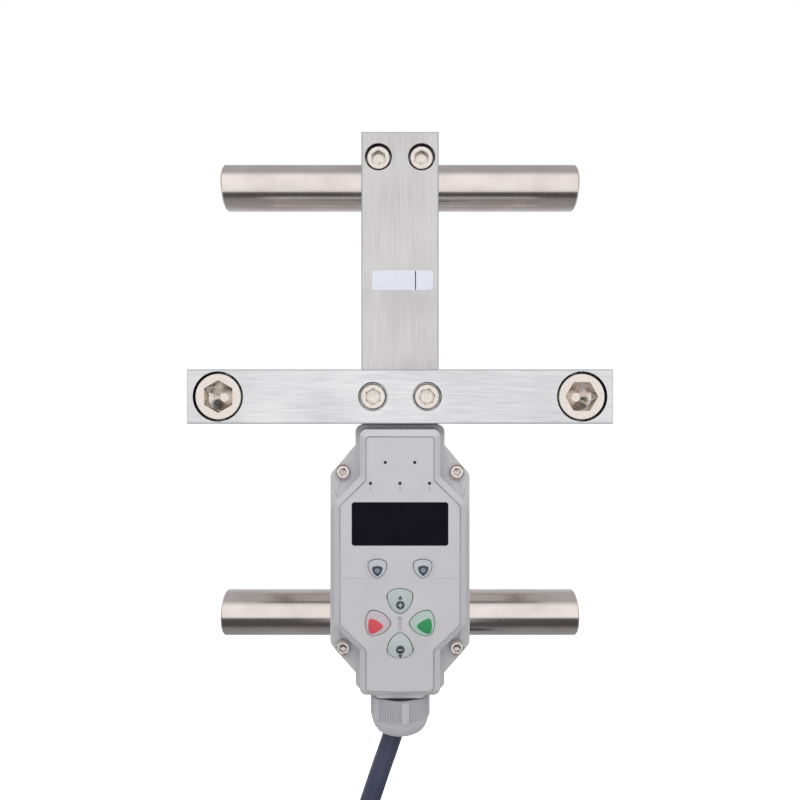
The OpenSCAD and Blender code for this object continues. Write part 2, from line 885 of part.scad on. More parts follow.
// A key with a crowned top, a flange behind the front wall and a stem
module key(k, tint) {
    color(tint) {
        intersection() {
            slab(key_flange_y + fit, key_flange_y + fit - key_front) key_outline(k, 0);
            translate([k[0], key_front + key_crown_r, k[1]]) sphere(key_crown_r, $fn = 96);
        }
        slab(key_flange_y + key_flange_t, key_flange_t) key_outline(k, key_gap + key_flange);
        along_y(k[0], k[1], key_stem_d, key_stem_end, key_stem_l + fit);
    }
}

module left_small_key() {
    key(key_list[0], "#b8bdc0");
}

module right_small_key() {
    key(key_list[1], "#b8bdc0");
}

module up_key() {
    key(key_list[2], "#b3bdbb");
}

module down_key() {
    key(key_list[3], "#b3bdbb");
}

module left_red_key() {
    key(key_list[4], "#c9b9bb");
}

module right_green_key() {
    key(key_list[5], "#b3c4b9");
}

module keypad_mat() {
    color("#8f9296") difference() {
        slab(board_front, board_front - mat_front) mat_outline(0);
        slab(board_front + past, board_front + past - mat_front - mat_t) mat_outline(mat_rim);
        for (k = key_list) {
            along_y(k[0], k[1], mat_hole, board_front, board_front - mat_front + past);
        }
    }
}

// The mat's outline moved inwards by d
module mat_outline(d) {
    intersection() {
        cavity_outline(board_gap + d);
        translate([-mat_half + d, mat_bottom + d])
            square([2 * (mat_half - d), mat_top - mat_bottom - 2 * d]);
    }
}

module tact_switches() {
    color("#2c2c30") for (k = key_list) {
        slab(board_front, switch_body) translate([k[0], k[1]]) square(switch_w, center = true);
        along_y(k[0], k[1], switch_plunger_d, board_front, board_front - switch_top);
    }
}

module terminal_block() {
    top = terminal_bottom() + terminal_h;
    color("#3f7d57") difference() {
        translate([-terminal_w / 2, board_back, terminal_bottom()])
            cube([terminal_w, terminal_deep, terminal_h]);
        for (i = [-2:2]) {
            along_y(i * terminal_w / 5.5, top - 3, 2.6, board_back + terminal_deep + past, 3);
        }
    }
}

// The lower face of the terminal block
function terminal_bottom() = housing_bottom + gland_wall + 7;

module inner_cores() {
    start = lead_route[0][1];
    color("#9a6b4a") for (sx = [-1, 1], sy = [-1, 1]) {
        translate([sx * 1.6, gland_y + sy * 1.6, start])
            cylinder(d = core_d, h = terminal_bottom() - start);
    }
}

// Cable gland

module gland_body() {
    color("#96979c") translate([0, gland_y, 0]) difference() {
        union() {
            translate([0, 0, housing_bottom - washer_t])
                cylinder(d = gland_d, h = gland_top - housing_bottom + washer_t);
            translate([0, 0, housing_bottom - washer_t - collar_h]) cylinder(r = collar_r, h = collar_h);
            translate([0, 0, spigot_end]) cylinder(r = spigot_r, h = collar_h + past);
            translate([0, 0, spigot_end])
                cylinder(r = spigot_r, h = housing_bottom - washer_t - spigot_end);
        }
        translate([0, 0, spigot_end - past]) cylinder(r = 6.6, h = gland_top - spigot_end + 2 * past);
        translate([0, 0, spigot_end - past]) cylinder(r = seal_r + fit, h = seal_l + past);
    }
}

module gland_washer() {
    color("#2b2b2d") translate([0, gland_y, housing_bottom - washer_t]) difference() {
        cylinder(r = collar_r + 0.3, h = washer_t);
        translate([0, 0, -past]) cylinder(d = gland_d + 2 * fit, h = washer_t + 2 * past);
    }
}

module gland_seal() {
    color("#3a3a3d") translate([0, gland_y, seal_end]) difference() {
        cylinder(r = seal_r, h = seal_l);
        translate([0, 0, -past]) cylinder(d = cable_d, h = seal_l + 2 * past);
    }
}

// The ribbed ring of the gland nut, with six smooth strips that stand a little higher
module ribbed_ring() {
    rib_r = nut_r - 0.5;
    step = 60 * (1 - strip_share) / ribs;
    points = [for (s = [0:5]) each concat(
        [for (a = [-1, -0.5, 0, 0.5, 1])
            let (turn = strip_turn + 60 * s + a * 30 * strip_share) nut_r * [cos(turn), sin(turn)]],
        [for (i = [0:ribs - 1]) each [for (q = [[0.15, 1], [0.4, 0], [0.75, 0], [1, 1]])
            let (a = strip_turn + 60 * s + 30 * strip_share + (i + q[0]) * step)
            (rib_r - rib_deep * q[1]) * [cos(a), sin(a)]]]
    )];
    linear_extrude(nut_rib_h) polygon(points);
}

module gland_nut() {
    skirt = washer_t + collar_h - 0.2 + fit;
    dome = [for (i = [0:8]) let (t = i / 8)
        [dome_end_r + (nut_r - 0.9 - dome_end_r) * pow(cos(90 * t), 0.55), -nut_dome_h * t]];
    color("#9d9ea2") translate([0, gland_y, 0]) difference() {
        union() {
            translate([0, 0, dome_top]) rotate(-90) ribbed_ring();
            translate([0, 0, dome_top]) rotate_extrude()
                polygon(concat([[0, 0.5], [dome[0][0], 0.5]], dome, [[0, -nut_dome_h]]));
        }
        translate([0, 0, nut_top - skirt]) cylinder(r = collar_r + 0.2, h = skirt + past);
        translate([0, 0, spigot_end - 0.3]) cylinder(r = spigot_r + fit, h = nut_top - spigot_end);
        translate([0, 0, nut_end - past]) cylinder(r = mouth_r, h = nut_dome_h + past);
    }
}

// Cable

// A point of the lead's route in space
function route_point(i) = [lead_route[i][0], gland_y, lead_route[i][1]];

// The direction of the route at its point i
function route_way(i) = let (a = max(i - 1, 0), b = min(i + 1, len(lead_route) - 1))
    unit(route_point(b) - route_point(a));

module cable_lead() {
    sides = 10;
    rings = len(lead_route);
    points = [for (i = [0:rings - 1], k = [0:sides - 1])
        let (w = route_way(i), a = 360 * k / sides)
        route_point(i) + cable_d / 2 * (cos(a) * [-w[2], 0, w[0]] + sin(a) * [0, 1, 0])];
    faces = concat(
        [[for (k = [0:sides - 1]) k]],
        [for (i = [0:rings - 2], k = [0:sides - 1]) let (n = (k + 1) % sides)
            [i * sides + k, (i + 1) * sides + k, (i + 1) * sides + n, i * sides + n]],
        [[for (k = [sides - 1:-1:0]) (rings - 1) * sides + k]]
    );
    color("#3f4358") polyhedron(points, faces);
}

module cable_coil() {
    w = (turns + 1) * cable_d;
    color("#3f4358") translate([coil_x, gland_y - cable_d / 2 + w, coil_z]) rotate([90, 0, 0])
        rotate_extrude($fn = 96) translate([coil_r - cable_d / 2, 0]) square([cable_d, w]);
}

module cable_tail() {
    color("#3f4358") translate([coil_start[0], tail_y, tail_end]) cylinder(d = cable_d, h = tail_l);
}

module cable_ties() {
    w = (turns + 1) * cable_d + 2 * tie_gap;
    h = cable_d + 2 * tie_gap;
    middle_y = gland_y + turns * cable_d / 2;
    color("#1c1c20") for (s = [-1, 1]) {
        translate([coil_x, middle_y, coil_z + s * coil_r]) difference() {
            cube([tie_w, w + 2 * tie_t, h + 2 * tie_t], center = true);
            cube([tie_w + past, w, h], center = true);
        }
    }
}

module core_ends() {
    color("#9a6b4a") for (i = [0:core_count - 1]) {
        a = 360 * i / core_count;
        translate([coil_start[0] + core_out * cos(a), tail_y + core_out * sin(a), tail_end - core_l])
            cylinder(d = core_d, h = core_l);
    }
}

load_beam();
upper_round_bar();
lower_round_bar();
upper_bar_screws();
lower_bar_screws();
crossbar();
crossbar_screws();
left_clamp_bolt();
right_clamp_bolt();
rear_clamp_bar();
beam_label();
strain_gauges();
gauge_lead();
back_plate();
plate_screws();
threaded_inserts();
housing_gasket();
front_housing();
housing_screws();
display_window();
display_module();
circuit_board();
board_screws();
status_lights();
keypad_mat();
tact_switches();
left_small_key();
right_small_key();
up_key();
down_key();
left_red_key();
right_green_key();
terminal_block();
inner_cores();
gland_body();
gland_washer();
gland_seal();
gland_nut();
cable_lead();
cable_coil();
cable_tail();
cable_ties();
core_ends();
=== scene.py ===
"""Looks of an elevator load cell: studio, cable, finishes and small raised details.

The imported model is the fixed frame. Sizes below are millimetres, other than the studio's,
and become metres in the meshes. The front faces -Y, +Z is up along the ropes and +X is to
the right.
"""

import json
import logging
import math
from abc import ABC, abstractmethod
from dataclasses import dataclass, field
from enum import Enum

import bmesh
import bpy
import numpy as np
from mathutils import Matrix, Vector

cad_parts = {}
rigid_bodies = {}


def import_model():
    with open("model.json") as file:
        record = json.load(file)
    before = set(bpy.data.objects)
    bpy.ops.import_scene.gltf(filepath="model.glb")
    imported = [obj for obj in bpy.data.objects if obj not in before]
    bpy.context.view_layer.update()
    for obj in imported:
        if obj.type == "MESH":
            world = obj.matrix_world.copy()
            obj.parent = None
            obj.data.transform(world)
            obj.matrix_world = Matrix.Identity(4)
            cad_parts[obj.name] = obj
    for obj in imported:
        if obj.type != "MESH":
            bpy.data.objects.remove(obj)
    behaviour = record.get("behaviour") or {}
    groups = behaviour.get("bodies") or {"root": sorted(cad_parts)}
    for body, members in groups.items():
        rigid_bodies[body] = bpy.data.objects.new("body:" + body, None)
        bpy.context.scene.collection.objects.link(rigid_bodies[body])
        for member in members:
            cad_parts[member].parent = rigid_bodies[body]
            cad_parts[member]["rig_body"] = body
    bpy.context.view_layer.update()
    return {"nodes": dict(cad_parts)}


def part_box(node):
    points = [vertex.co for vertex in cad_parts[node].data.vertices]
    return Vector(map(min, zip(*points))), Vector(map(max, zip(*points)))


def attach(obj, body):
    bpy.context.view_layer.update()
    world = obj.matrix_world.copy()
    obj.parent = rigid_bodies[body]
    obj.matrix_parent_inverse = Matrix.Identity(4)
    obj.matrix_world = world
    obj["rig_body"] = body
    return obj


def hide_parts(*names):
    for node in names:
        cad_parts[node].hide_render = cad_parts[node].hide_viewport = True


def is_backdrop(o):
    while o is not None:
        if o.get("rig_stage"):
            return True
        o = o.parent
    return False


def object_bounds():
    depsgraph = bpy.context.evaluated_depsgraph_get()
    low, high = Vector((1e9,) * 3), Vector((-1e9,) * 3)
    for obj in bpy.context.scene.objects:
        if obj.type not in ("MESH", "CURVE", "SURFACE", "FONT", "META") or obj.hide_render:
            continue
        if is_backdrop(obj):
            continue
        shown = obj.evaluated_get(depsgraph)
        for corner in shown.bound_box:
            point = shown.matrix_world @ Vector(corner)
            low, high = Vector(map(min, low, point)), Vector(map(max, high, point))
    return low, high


LOG = logging.getLogger("load_cell")
MM = 0.001
# The part of a noise's range that nearly all its values lie in, for Map Range nodes.
MIDDLE = {"From Min": 0.3, "From Max": 0.7}
# The fold from which an edge of a CAD solid counts as an edge, and not as part of a curve.
FOLD = math.radians(28)


class Grain(Enum):
    """The way that fine marks run, as how fine they are along X, Y and Z."""

    EVEN = (1.0, 1.0, 1.0)
    ACROSS = (0.04, 1.0, 1.0)
    UPRIGHT = (1.0, 1.0, 0.03)
    ROUND_X = (1.0, 0.04, 0.04)
    DRAWN_X = (0.6, 1.0, 1.0)
    STRANDS = (1.0, 1.0, 0.1)


class Way(Enum):
    """The way that a pointed mark on a key points, as degrees from +X to +Z."""

    RIGHT = 0.0
    UP = 90.0
    LEFT = 180.0
    DOWN = 270.0


def linear(colour: str) -> tuple[float, float, float, float]:
    """Turns an sRGB hex value to a linear colour.

    Args:
        colour: the value, such as "#c8c8ca".

    Returns:
        Red, green, blue and an alpha of 1.
    """
    parts = [int(colour[i : i + 2], 16) / 255 for i in (1, 3, 5)]
    red, green, blue = (
        p / 12.92 if p <= 0.04045 else ((p + 0.055) / 1.055) ** 2.4 for p in parts
    )
    return red, green, blue, 1.0


def add_node(
    tree: bpy.types.NodeTree, kind: str, sockets: dict | None = None, **settings: object
) -> bpy.types.Node:
    """Adds one shader node, with its settings, socket values and links.

    Args:
        tree: the node tree that it goes into.
        kind: Blender's type name of the node.
        sockets: input name or number, to a value or to the output that feeds it.
        **settings: the node's own attributes.

    Returns:
        The new node.
    """
    node = tree.nodes.new(kind)
    for name, value in settings.items():
        setattr(node, name, value)
    for key, value in (sockets or {}).items():
        if isinstance(value, bpy.types.NodeSocket):
            tree.links.new(value, node.inputs[key])
        else:
            node.inputs[key].default_value = value
    return node


def by_angle(
    tree: bpy.types.NodeTree,
    up: bpy.types.NodeSocket,
    along: bpy.types.NodeSocket,
    stops: list[tuple[float, str]],
) -> bpy.types.Node:
    """Colours by angle: the arc tangent of up over along picks a place on a ramp.

    Args:
        tree: the node tree that it goes into.
        up: the value that is 0 where the angle is 0.
        along: the value that is highest there.
        stops: places on the ramp, 0 at -180 degrees and 1 at 180, and their colours.

    Returns:
        The ramp's node.
    """
    angle = add_node(tree, "ShaderNodeMath", {0: up, 1: along}, operation="ARCTAN2").outputs[0]
    share = add_node(
        tree, "ShaderNodeMapRange", {"Value": angle, "From Min": -math.pi, "From Max": math.pi}
    ).outputs["Result"]
    ramp = add_node(tree, "ShaderNodeValToRGB", {"Fac": share})
    marks = ramp.color_ramp.elements
    while len(marks) < len(stops):
        marks.new(1.0)
    for i, (place, colour) in enumerate(stops):
        marks[i].position = place
        marks[i].color = linear(colour)
    return ramp


def linked(name: str, data: bpy.types.ID) -> bpy.types.Object:
    """Makes an object from its data and puts it into the scene.

    Args:
        name: the object's name.
        data: its mesh, curve, lamp or camera.

    Returns:
        The new object.
    """
    item = bpy.data.objects.new(name, data)
    bpy.context.scene.collection.objects.link(item)
    return item


def ring_faces(rows: int, columns: int) -> np.ndarray:
    """Quads between the points of a grid, with its last column joined to its first.

    Args:
        rows: the number of rings of points.
        columns: the number of points in a ring.

    Returns:
        One row of four point numbers for each face.
    """
    r, c = np.meshgrid(np.arange(rows - 1), np.arange(columns), indexing="ij")
    after = (c + 1) % columns
    corners = (
        r * columns + c,
        r * columns + after,
        (r + 1) * columns + after,
        (r + 1) * columns + c,
    )
    return np.stack(corners, axis=-1).reshape(-1, 4)


def outward(mesh: bpy.types.Mesh, merge: float = 0.0001) -> None:
    """Joins the doubled points of a mesh and turns all its faces outwards.

    Args:
        mesh: the mesh.
        merge: how near in millimetres two points are to be joined.
    """
    work = bmesh.new()
    work.from_mesh(mesh)
    bmesh.ops.remove_doubles(work, verts=work.verts, dist=merge * MM)
    bmesh.ops.recalc_face_normals(work, faces=work.faces)
    work.to_mesh(mesh)
    work.free()


def piece_from(
    name: str,
    points: np.ndarray,
    faces: np.ndarray,
    material: bpy.types.Material,
    smooth: float,
) -> bpy.types.Object:
    """Makes an object at the origin from points in millimetres.

    Args:
        name: the piece's name.
        points: one row of three values for each point, in millimetres.
        faces: one row of point numbers for each face.
        material: the finish.
        smooth: edges sharper than this many degrees stay sharp.

    Returns:
        The new object.
    """
    mesh = bpy.data.meshes.new(name)
    mesh.from_pydata((points.reshape(-1, 3) * MM).tolist(), [], faces.tolist())
    outward(mesh)
    mesh.materials.append(material)
    mesh.shade_smooth()
    mesh.set_sharp_from_angle(angle=math.radians(smooth))
    return linked(name, mesh)


@dataclass(frozen=True)
class Finish(ABC):
    """A finish by its colour, its gloss, whether it is a metal and its fine texture.

    The texture's pitch and depth are in millimetres. Matting is how far the roughness falls
    where the texture is low and rises where it is high, and relief how strongly it shades.
    """

    title: str
    colour: str
    roughness: float
    metallic: float = 0.0
    gloss: float = 0.5
    pitch: float = 0.3
    depth: float = 0.01
    matting: tuple[float, float] = (0.05, 0.05)
    relief: float = 0.5

    @abstractmethod
    def make(self) -> bpy.types.Material:
        """Builds the material."""

    def begin(self) -> tuple[bpy.types.Material, bpy.types.NodeTree, bpy.types.Node]:
        """Starts the material.

        Returns:
            The material, its node tree and its surface shader.
        """
        material = bpy.data.materials.new(self.title)
        material.use_nodes = True
        tree = material.node_tree
        shader = tree.nodes["Principled BSDF"]
        shader.inputs["Base Color"].default_value = linear(self.colour)
        shader.inputs["Roughness"].default_value = self.roughness
        shader.inputs["Metallic"].default_value = self.metallic
        shader.inputs["Specular IOR Level"].default_value = self.gloss
        return material, tree, shader

    def noise(
        self,
        tree: bpy.types.NodeTree,
        pitch: float,
        grain: Grain = Grain.EVEN,
        detail: float = 3.0,
    ) -> bpy.types.NodeSocket:
        """Noise over the object's own coordinates.

        Args:
            tree: the material's node tree.
            pitch: the size of one grain in millimetres.
            grain: the way that it is drawn out.
            detail: how many finer layers lie in it.

        Returns:
            The noise's value, from 0 to 1.
        """
        scale = tuple(fine / (pitch * MM) for fine in grain.value)
        place = add_node(tree, "ShaderNodeTexCoord").outputs["Object"]
        place = add_node(
            tree, "ShaderNodeMapping", {"Vector": place, "Scale": scale}
        ).outputs["Vector"]
        return add_node(
            tree, "ShaderNodeTexNoise", {"Vector": place, "Scale": 1.0, "Detail": detail}
        ).outputs[0]

    def clouded(
        self, tree: bpy.types.NodeTree, pattern: bpy.types.NodeSocket, most: float, other: str
    ) -> bpy.types.NodeSocket:
        """Fades the finish's colour over to another one where a pattern is high.

        Args:
            tree: the material's node tree.
            pattern: the pattern, from 0 to 1.
            most: the other colour's share where the pattern is highest.
            other: the other colour.

        Returns:
            The faded colour.
        """
        share = add_node(
            tree, "ShaderNodeMapRange", {"Value": pattern, **MIDDLE, "To Min": 0.0, "To Max": most}
        ).outputs["Result"]
        return add_node(
            tree,
            "ShaderNodeMix",
            {0: share, 6: linear(self.colour), 7: linear(other)},
            data_type="RGBA",
        ).outputs[2]

    def textured(
        self, tree: bpy.types.NodeTree, shader: bpy.types.Node, pattern: bpy.types.NodeSocket
    ) -> None:
        """Lets one pattern shape both the gloss and the relief of the surface.

        Args:
            tree: the material's node tree.
            shader: its surface shader.
            pattern: the pattern, from 0 to 1.
        """
        low, high = self.roughness - self.matting[0], self.roughness + self.matting[1]
        matt = add_node(
            tree, "ShaderNodeMapRange", {"Value": pattern, **MIDDLE, "To Min": low, "To Max": high}
        )
        raised = add_node(
            tree,
            "ShaderNodeBump",
            {"Strength": self.relief, "Distance": self.depth * MM, "Height": pattern},
        )
        tree.links.new(matt.outputs["Result"], shader.inputs["Roughness"])
        tree.links.new(raised.outputs["Normal"], shader.inputs["Normal"])


@dataclass(frozen=True)
class GroundSteel(Finish):
    """Stainless steel bar ground on a belt: fine scratches that all run one way.

    The eye sees a satin face whose light is drawn out at right angles to the scratches.
    A 180 grit belt leaves lines about 0.1 mm apart, drawn here at a pitch that shows.
    """

    pitch: float = 0.75
    depth: float = 0.03
    matting: tuple[float, float] = (0.05, 0.08)
    grain: Grain = Grain.UPRIGHT
    contrast: float = 0.36
    other: str = "#b9b8bb"
    # Broad bands along the grain and soft patches: size in millimetres and share of the tone.
    band: tuple[float, float] = (9.0, 0.14)
    patch: tuple[float, float] = (34.0, 0.14)

    def make(self) -> bpy.types.Material:
        """Builds the material: scratches in height, gloss and colour, broad bands and patches.

        Returns:
            The new material.
        """
        material, tree, shader = self.begin()
        scratch = self.noise(tree, self.pitch, self.grain, 4.0)
        band = self.noise(tree, self.band[0], self.grain, 2.0)
        patch = self.noise(tree, self.patch[0], detail=1.0)
        worn: bpy.types.NodeSocket | float = 0.0
        for pattern, low, high in (
            (scratch, 0.0, self.contrast),
            (band, 0.0, self.band[1]),
            (patch, -self.patch[1], self.patch[1]),
        ):
            part = add_node(
                tree,
                "ShaderNodeMapRange",
                {"Value": pattern, **MIDDLE, "To Min": low, "To Max": high},
            ).outputs["Result"]
            worn = add_node(
                tree, "ShaderNodeMath", {0: worn, 1: part}, operation="ADD", use_clamp=True
            ).outputs[0]
        mixed = add_node(
            tree,
            "ShaderNodeMix",
            {0: worn, 6: linear(self.colour), 7: linear(self.other)},
            data_type="RGBA",
        ).outputs[2]
        tree.links.new(mixed, shader.inputs["Base Color"])
        self.textured(tree, shader, scratch)
        return material


@dataclass(frozen=True)
class TurnedSteel(Finish):
    """Round stainless bar, ground between wheels and polished.

    It mirrors the room in long bands, broken up by marks that run round the bar. Real
    marks are some 0.05 mm apart, drawn here 0.6 mm apart so that they show.
    """

    pitch: float = 0.6
    depth: float = 0.004
    matting: tuple[float, float] = (0.04, 0.06)
    relief: float = 0.4
    shade: str = "#cbbfba"
    # The clouds' size in millimetres and their share of the tone.
    cloud: tuple[float, float] = (14.0, 0.5)

    def make(self) -> bpy.types.Material:
        """Builds the material: rings round the X axis in height and gloss, and soft clouds.

        Returns:
            The new material.
        """
        material, tree, shader = self.begin()
        size, most = self.cloud
        ring = self.noise(tree, self.pitch, Grain.ROUND_X)
        cloud = self.noise(tree, size, Grain.DRAWN_X)
        tree.links.new(self.clouded(tree, cloud, most, self.shade), shader.inputs["Base Color"])
        self.textured(tree, shader, ring)
        return material


@dataclass(frozen=True)
class PlatedSteel(Finish):
    """Hard steel with bright nickel, as on cap screws: warm, glossy, a little uneven.

    Painted shade darkens sockets and the foot of a head, where the light is closed in.
    Turned brass and tinned sheet are made the same way in their own colours.
    """

    pitch: float = 1.2
    depth: float = 0.012
    matting: tuple[float, float] = (0.06, 0.1)
    relief: float = 0.25
    shade: str = "#e0d7cf"
    # The colour of the painted shade in sockets and at the foot of a head.
    painted_recess_shade: str = "#454041"
    reach: float = 2.5
    # How open a spot is where the painted shade is darkest and where it has faded out.
    openness: tuple[float, float] = (0.1, 0.8)

    def make(self) -> bpy.types.Material:
        """Builds the material: small pits, clouds in colour and gloss, and painted shade in the
        recesses.

        Returns:
            The new material.
        """
        material, tree, shader = self.begin()
        cloud = self.noise(tree, self.pitch, detail=4.0)
        plain = self.clouded(tree, cloud, 1.0, self.shade)
        # Painted shade: ambient occlusion darkens the colour in recesses.
        open_to = add_node(
            tree, "ShaderNodeAmbientOcclusion", {"Distance": self.reach * MM}, samples=8
        ).outputs["AO"]
        low, high = self.openness
        unshaded = add_node(
            tree, "ShaderNodeMapRange", {"Value": open_to, "From Min": low, "From Max": high}
        ).outputs["Result"]
        mixed = add_node(
            tree, "ShaderNodeMix", {0: unshaded, 6: linear(self.painted_recess_shade), 7: plain}, data_type="RGBA"
        ).outputs[2]
        tree.links.new(mixed, shader.inputs["Base Color"])
        self.textured(tree, shader, cloud)
        return material


@dataclass(frozen=True)
class MouldedPlastic(Finish):
    """Thermoplastic from a spark-eroded mould: matt, with a fine even pebble.

    The pebble is about 0.1 mm wide, drawn here at its pitch so that it just shows. Rubber,
    film and ink are made the same way with a pebble of their own.
    """

    pitch: float = 0.25
    depth: float = 0.012
    matting: tuple[float, float] = (0.04, 0.05)
    relief: float = 0.6
    other: str = ""
    cloud: float = 18.0

    def make(self) -> bpy.types.Material:
        """Builds the material: pebble in height and gloss, and a faint drift of the colour.

        Returns:
            The new material.
        """
        material, tree, shader = self.begin()
        pebble = self.noise(tree, self.pitch, detail=2.0)
        if self.other:
            drift = self.noise(tree, self.cloud, detail=2.0)
            tree.links.new(self.clouded(tree, drift, 1.0, self.other), shader.inputs["Base Color"])
        self.textured(tree, shader, pebble)
        return material


@dataclass(frozen=True)
class CoreColours(Finish):
    """Five thin cores, each insulation in its own colour, with tinned copper at the end."""

    depth: float = 0.02
    # X and Y of the bundle's middle, and the Z below which the copper is bare.
    centre: tuple[float, float] = (-38.0, -24.5)
    strip_z: float = -391.0
    colours: tuple[str, ...] = ("#a3262b", "#d8d8d4", "#20242a", "#2c7a48", "#c9a227")
    tinned: str = "#c9c6c0"

    def make(self) -> bpy.types.Material:
        """Builds the material: the angle round the bundle picks the colour.

        Returns:
            The new material.
        """
        material, tree, shader = self.begin()
        place = add_node(tree, "ShaderNodeTexCoord").outputs["Object"]
        shift = (-self.centre[0] * MM, -self.centre[1] * MM, -self.strip_z * MM)
        place = add_node(
            tree, "ShaderNodeMapping", {"Vector": place, "Location": shift}
        ).outputs["Vector"]
        parts = add_node(tree, "ShaderNodeSeparateXYZ", {"Vector": place})
        stops = [(i / len(self.colours), colour) for i, colour in enumerate(self.colours)]
        ramp = by_angle(tree, parts.outputs["Y"], parts.outputs["X"], stops)
        ramp.color_ramp.interpolation = "CONSTANT"
        metal = add_node(
            tree, "ShaderNodeMath", {0: parts.outputs["Z"], 1: 0.0}, operation="LESS_THAN"
        ).outputs[0]
        mixed = add_node(
            tree,
            "ShaderNodeMix",
            {0: metal, 6: ramp.outputs["Color"], 7: linear(self.tinned)},
            data_type="RGBA",
        ).outputs[2]
        tree.links.new(mixed, shader.inputs["Base Color"])
        tree.links.new(metal, shader.inputs["Metallic"])
        strand = self.noise(tree, self.pitch, Grain.STRANDS, 2.0)
        raised = add_node(
            tree,
            "ShaderNodeBump",
            {"Strength": self.relief, "Distance": self.depth * MM, "Height": strand},
        )
        tree.links.new(raised.outputs["Normal"], shader.inputs["Normal"])
        return material


SATIN_STEEL = GroundSteel("satin_stainless", "#dcd9da", 0.36, 1.0, other="#b7b3b5")
BRUSHED_STEEL = GroundSteel(
    "brushed_stainless", "#eeeeef", 0.33, 1.0, grain=Grain.ACROSS, pitch=0.6, other="#c0c0c4"
)
POLISHED_STEEL = TurnedSteel("polished_stainless", "#efe6e1", 0.17, 1.0)
NICKEL = PlatedSteel("bright_nickel", "#efe8e1", 0.16, 1.0)
HOUSING_ABS = MouldedPlastic("light_grey_polycarbonate", "#c5c4c5", 0.5, other="#c1c0c2")
KEY_SILICONE = MouldedPlastic(
    "pale_silicone_rubber", "#b4babf", 0.42, pitch=0.3, other="#bcc1c4", cloud=6.0
)
MINT_SILICONE = MouldedPlastic(
    "mint_grey_silicone_rubber", "#b0b9b9", 0.42, pitch=0.3, other="#b8bfbf", cloud=6.0
)
ROSE_SILICONE = MouldedPlastic(
    "rose_grey_silicone_rubber", "#bcb4b9", 0.42, pitch=0.3, other="#c2b6bb", cloud=6.0
)
GREEN_SILICONE = MouldedPlastic(
    "pale_green_silicone_rubber", "#b0bfb9", 0.42, pitch=0.3, other="#a9c1b4", cloud=6.0
)
INK_NAVY = MouldedPlastic("navy_key_ink", "#39414f", 0.45, pitch=0.2, depth=0.004)
INK_PALE = MouldedPlastic("pale_key_ink", "#b9c2c8", 0.45, pitch=0.2, depth=0.004)
INK_RED = MouldedPlastic("red_key_ink", "#d04e55", 0.4, pitch=0.2, depth=0.004)
INK_GREEN = MouldedPlastic("green_key_ink", "#2b8d55", 0.4, pitch=0.2, depth=0.004)
INK_GREY = MouldedPlastic("grey_panel_ink", "#9b9ca0", 0.5, pitch=0.2, depth=0.004)
# The panel's fine lines: raised lines whose grey, darker than the housing, is painted shade for the
# shadow in a groove.
GROOVE_SHADE_GREY = MouldedPlastic("panel_line_grey", "#b6b7bb", 0.5, pitch=0.2, depth=0.004)
WINDOW = MouldedPlastic(
    "smoked_acrylic", "#0d0b15", 0.1, gloss=0.05, pitch=6.0, depth=0.002, other="#12101c"
)
LAMP_LENS = MouldedPlastic("dark_lamp_lens", "#101014", 0.25, pitch=0.4, depth=0.004)
LABEL_FILM = MouldedPlastic(
    "matt_label_film", "#d9dbe4", 0.35, pitch=0.5, depth=0.003, other="#d3d5df", cloud=8.0
)
LABEL_INK = MouldedPlastic("label_ink", "#2b2a3a", 0.5, pitch=0.2, depth=0.003)
GLAND_NYLON = MouldedPlastic(
    "grey_moulded_nylon", "#bebec1", 0.45, pitch=0.35, depth=0.015, other="#b6b6ba"
)
SHEATH = MouldedPlastic(
    "dark_blue_grey_sheath", "#42475d", 0.42, pitch=0.5, depth=0.02, other="#3a3e54", cloud=12.0
)
TIE_NYLON = MouldedPlastic("black_nylon", "#17171a", 0.4, pitch=0.3)
BLACK_RUBBER = MouldedPlastic(
    "black_nitrile_rubber", "#1b1b1d", 0.6, pitch=0.3, other="#222225", cloud=5.0
)
# The brass's painted shade in its recesses is dark brown.
BRASS = PlatedSteel("turned_brass", "#c8a860", 0.25, 1.0, shade="#b39350", painted_recess_shade="#6b5428")
DISPLAY_BLACK = MouldedPlastic("display_black", "#14161b", 0.3, pitch=0.4)
BOARD_GREEN = MouldedPlastic(
    "solder_mask_green", "#1f6b3b", 0.3, pitch=1.2, depth=0.03, other="#2a7d48", cloud=2.0
)
SWITCH_GREY = PlatedSteel("tinned_switch_can", "#b9babc", 0.3, 1.0)
TERMINAL_GREEN = MouldedPlastic("terminal_polyamide", "#3b7f55", 0.4, pitch=0.3)
FOIL = MouldedPlastic("polyimide_gauge_foil", "#b9803a", 0.35, pitch=0.3, other="#a96f2d")
LEAD_WHITE = MouldedPlastic("white_insulation", "#d8d8d6", 0.4, pitch=0.4)
CORES = CoreColours("core_insulation", "#a3262b", 0.35)


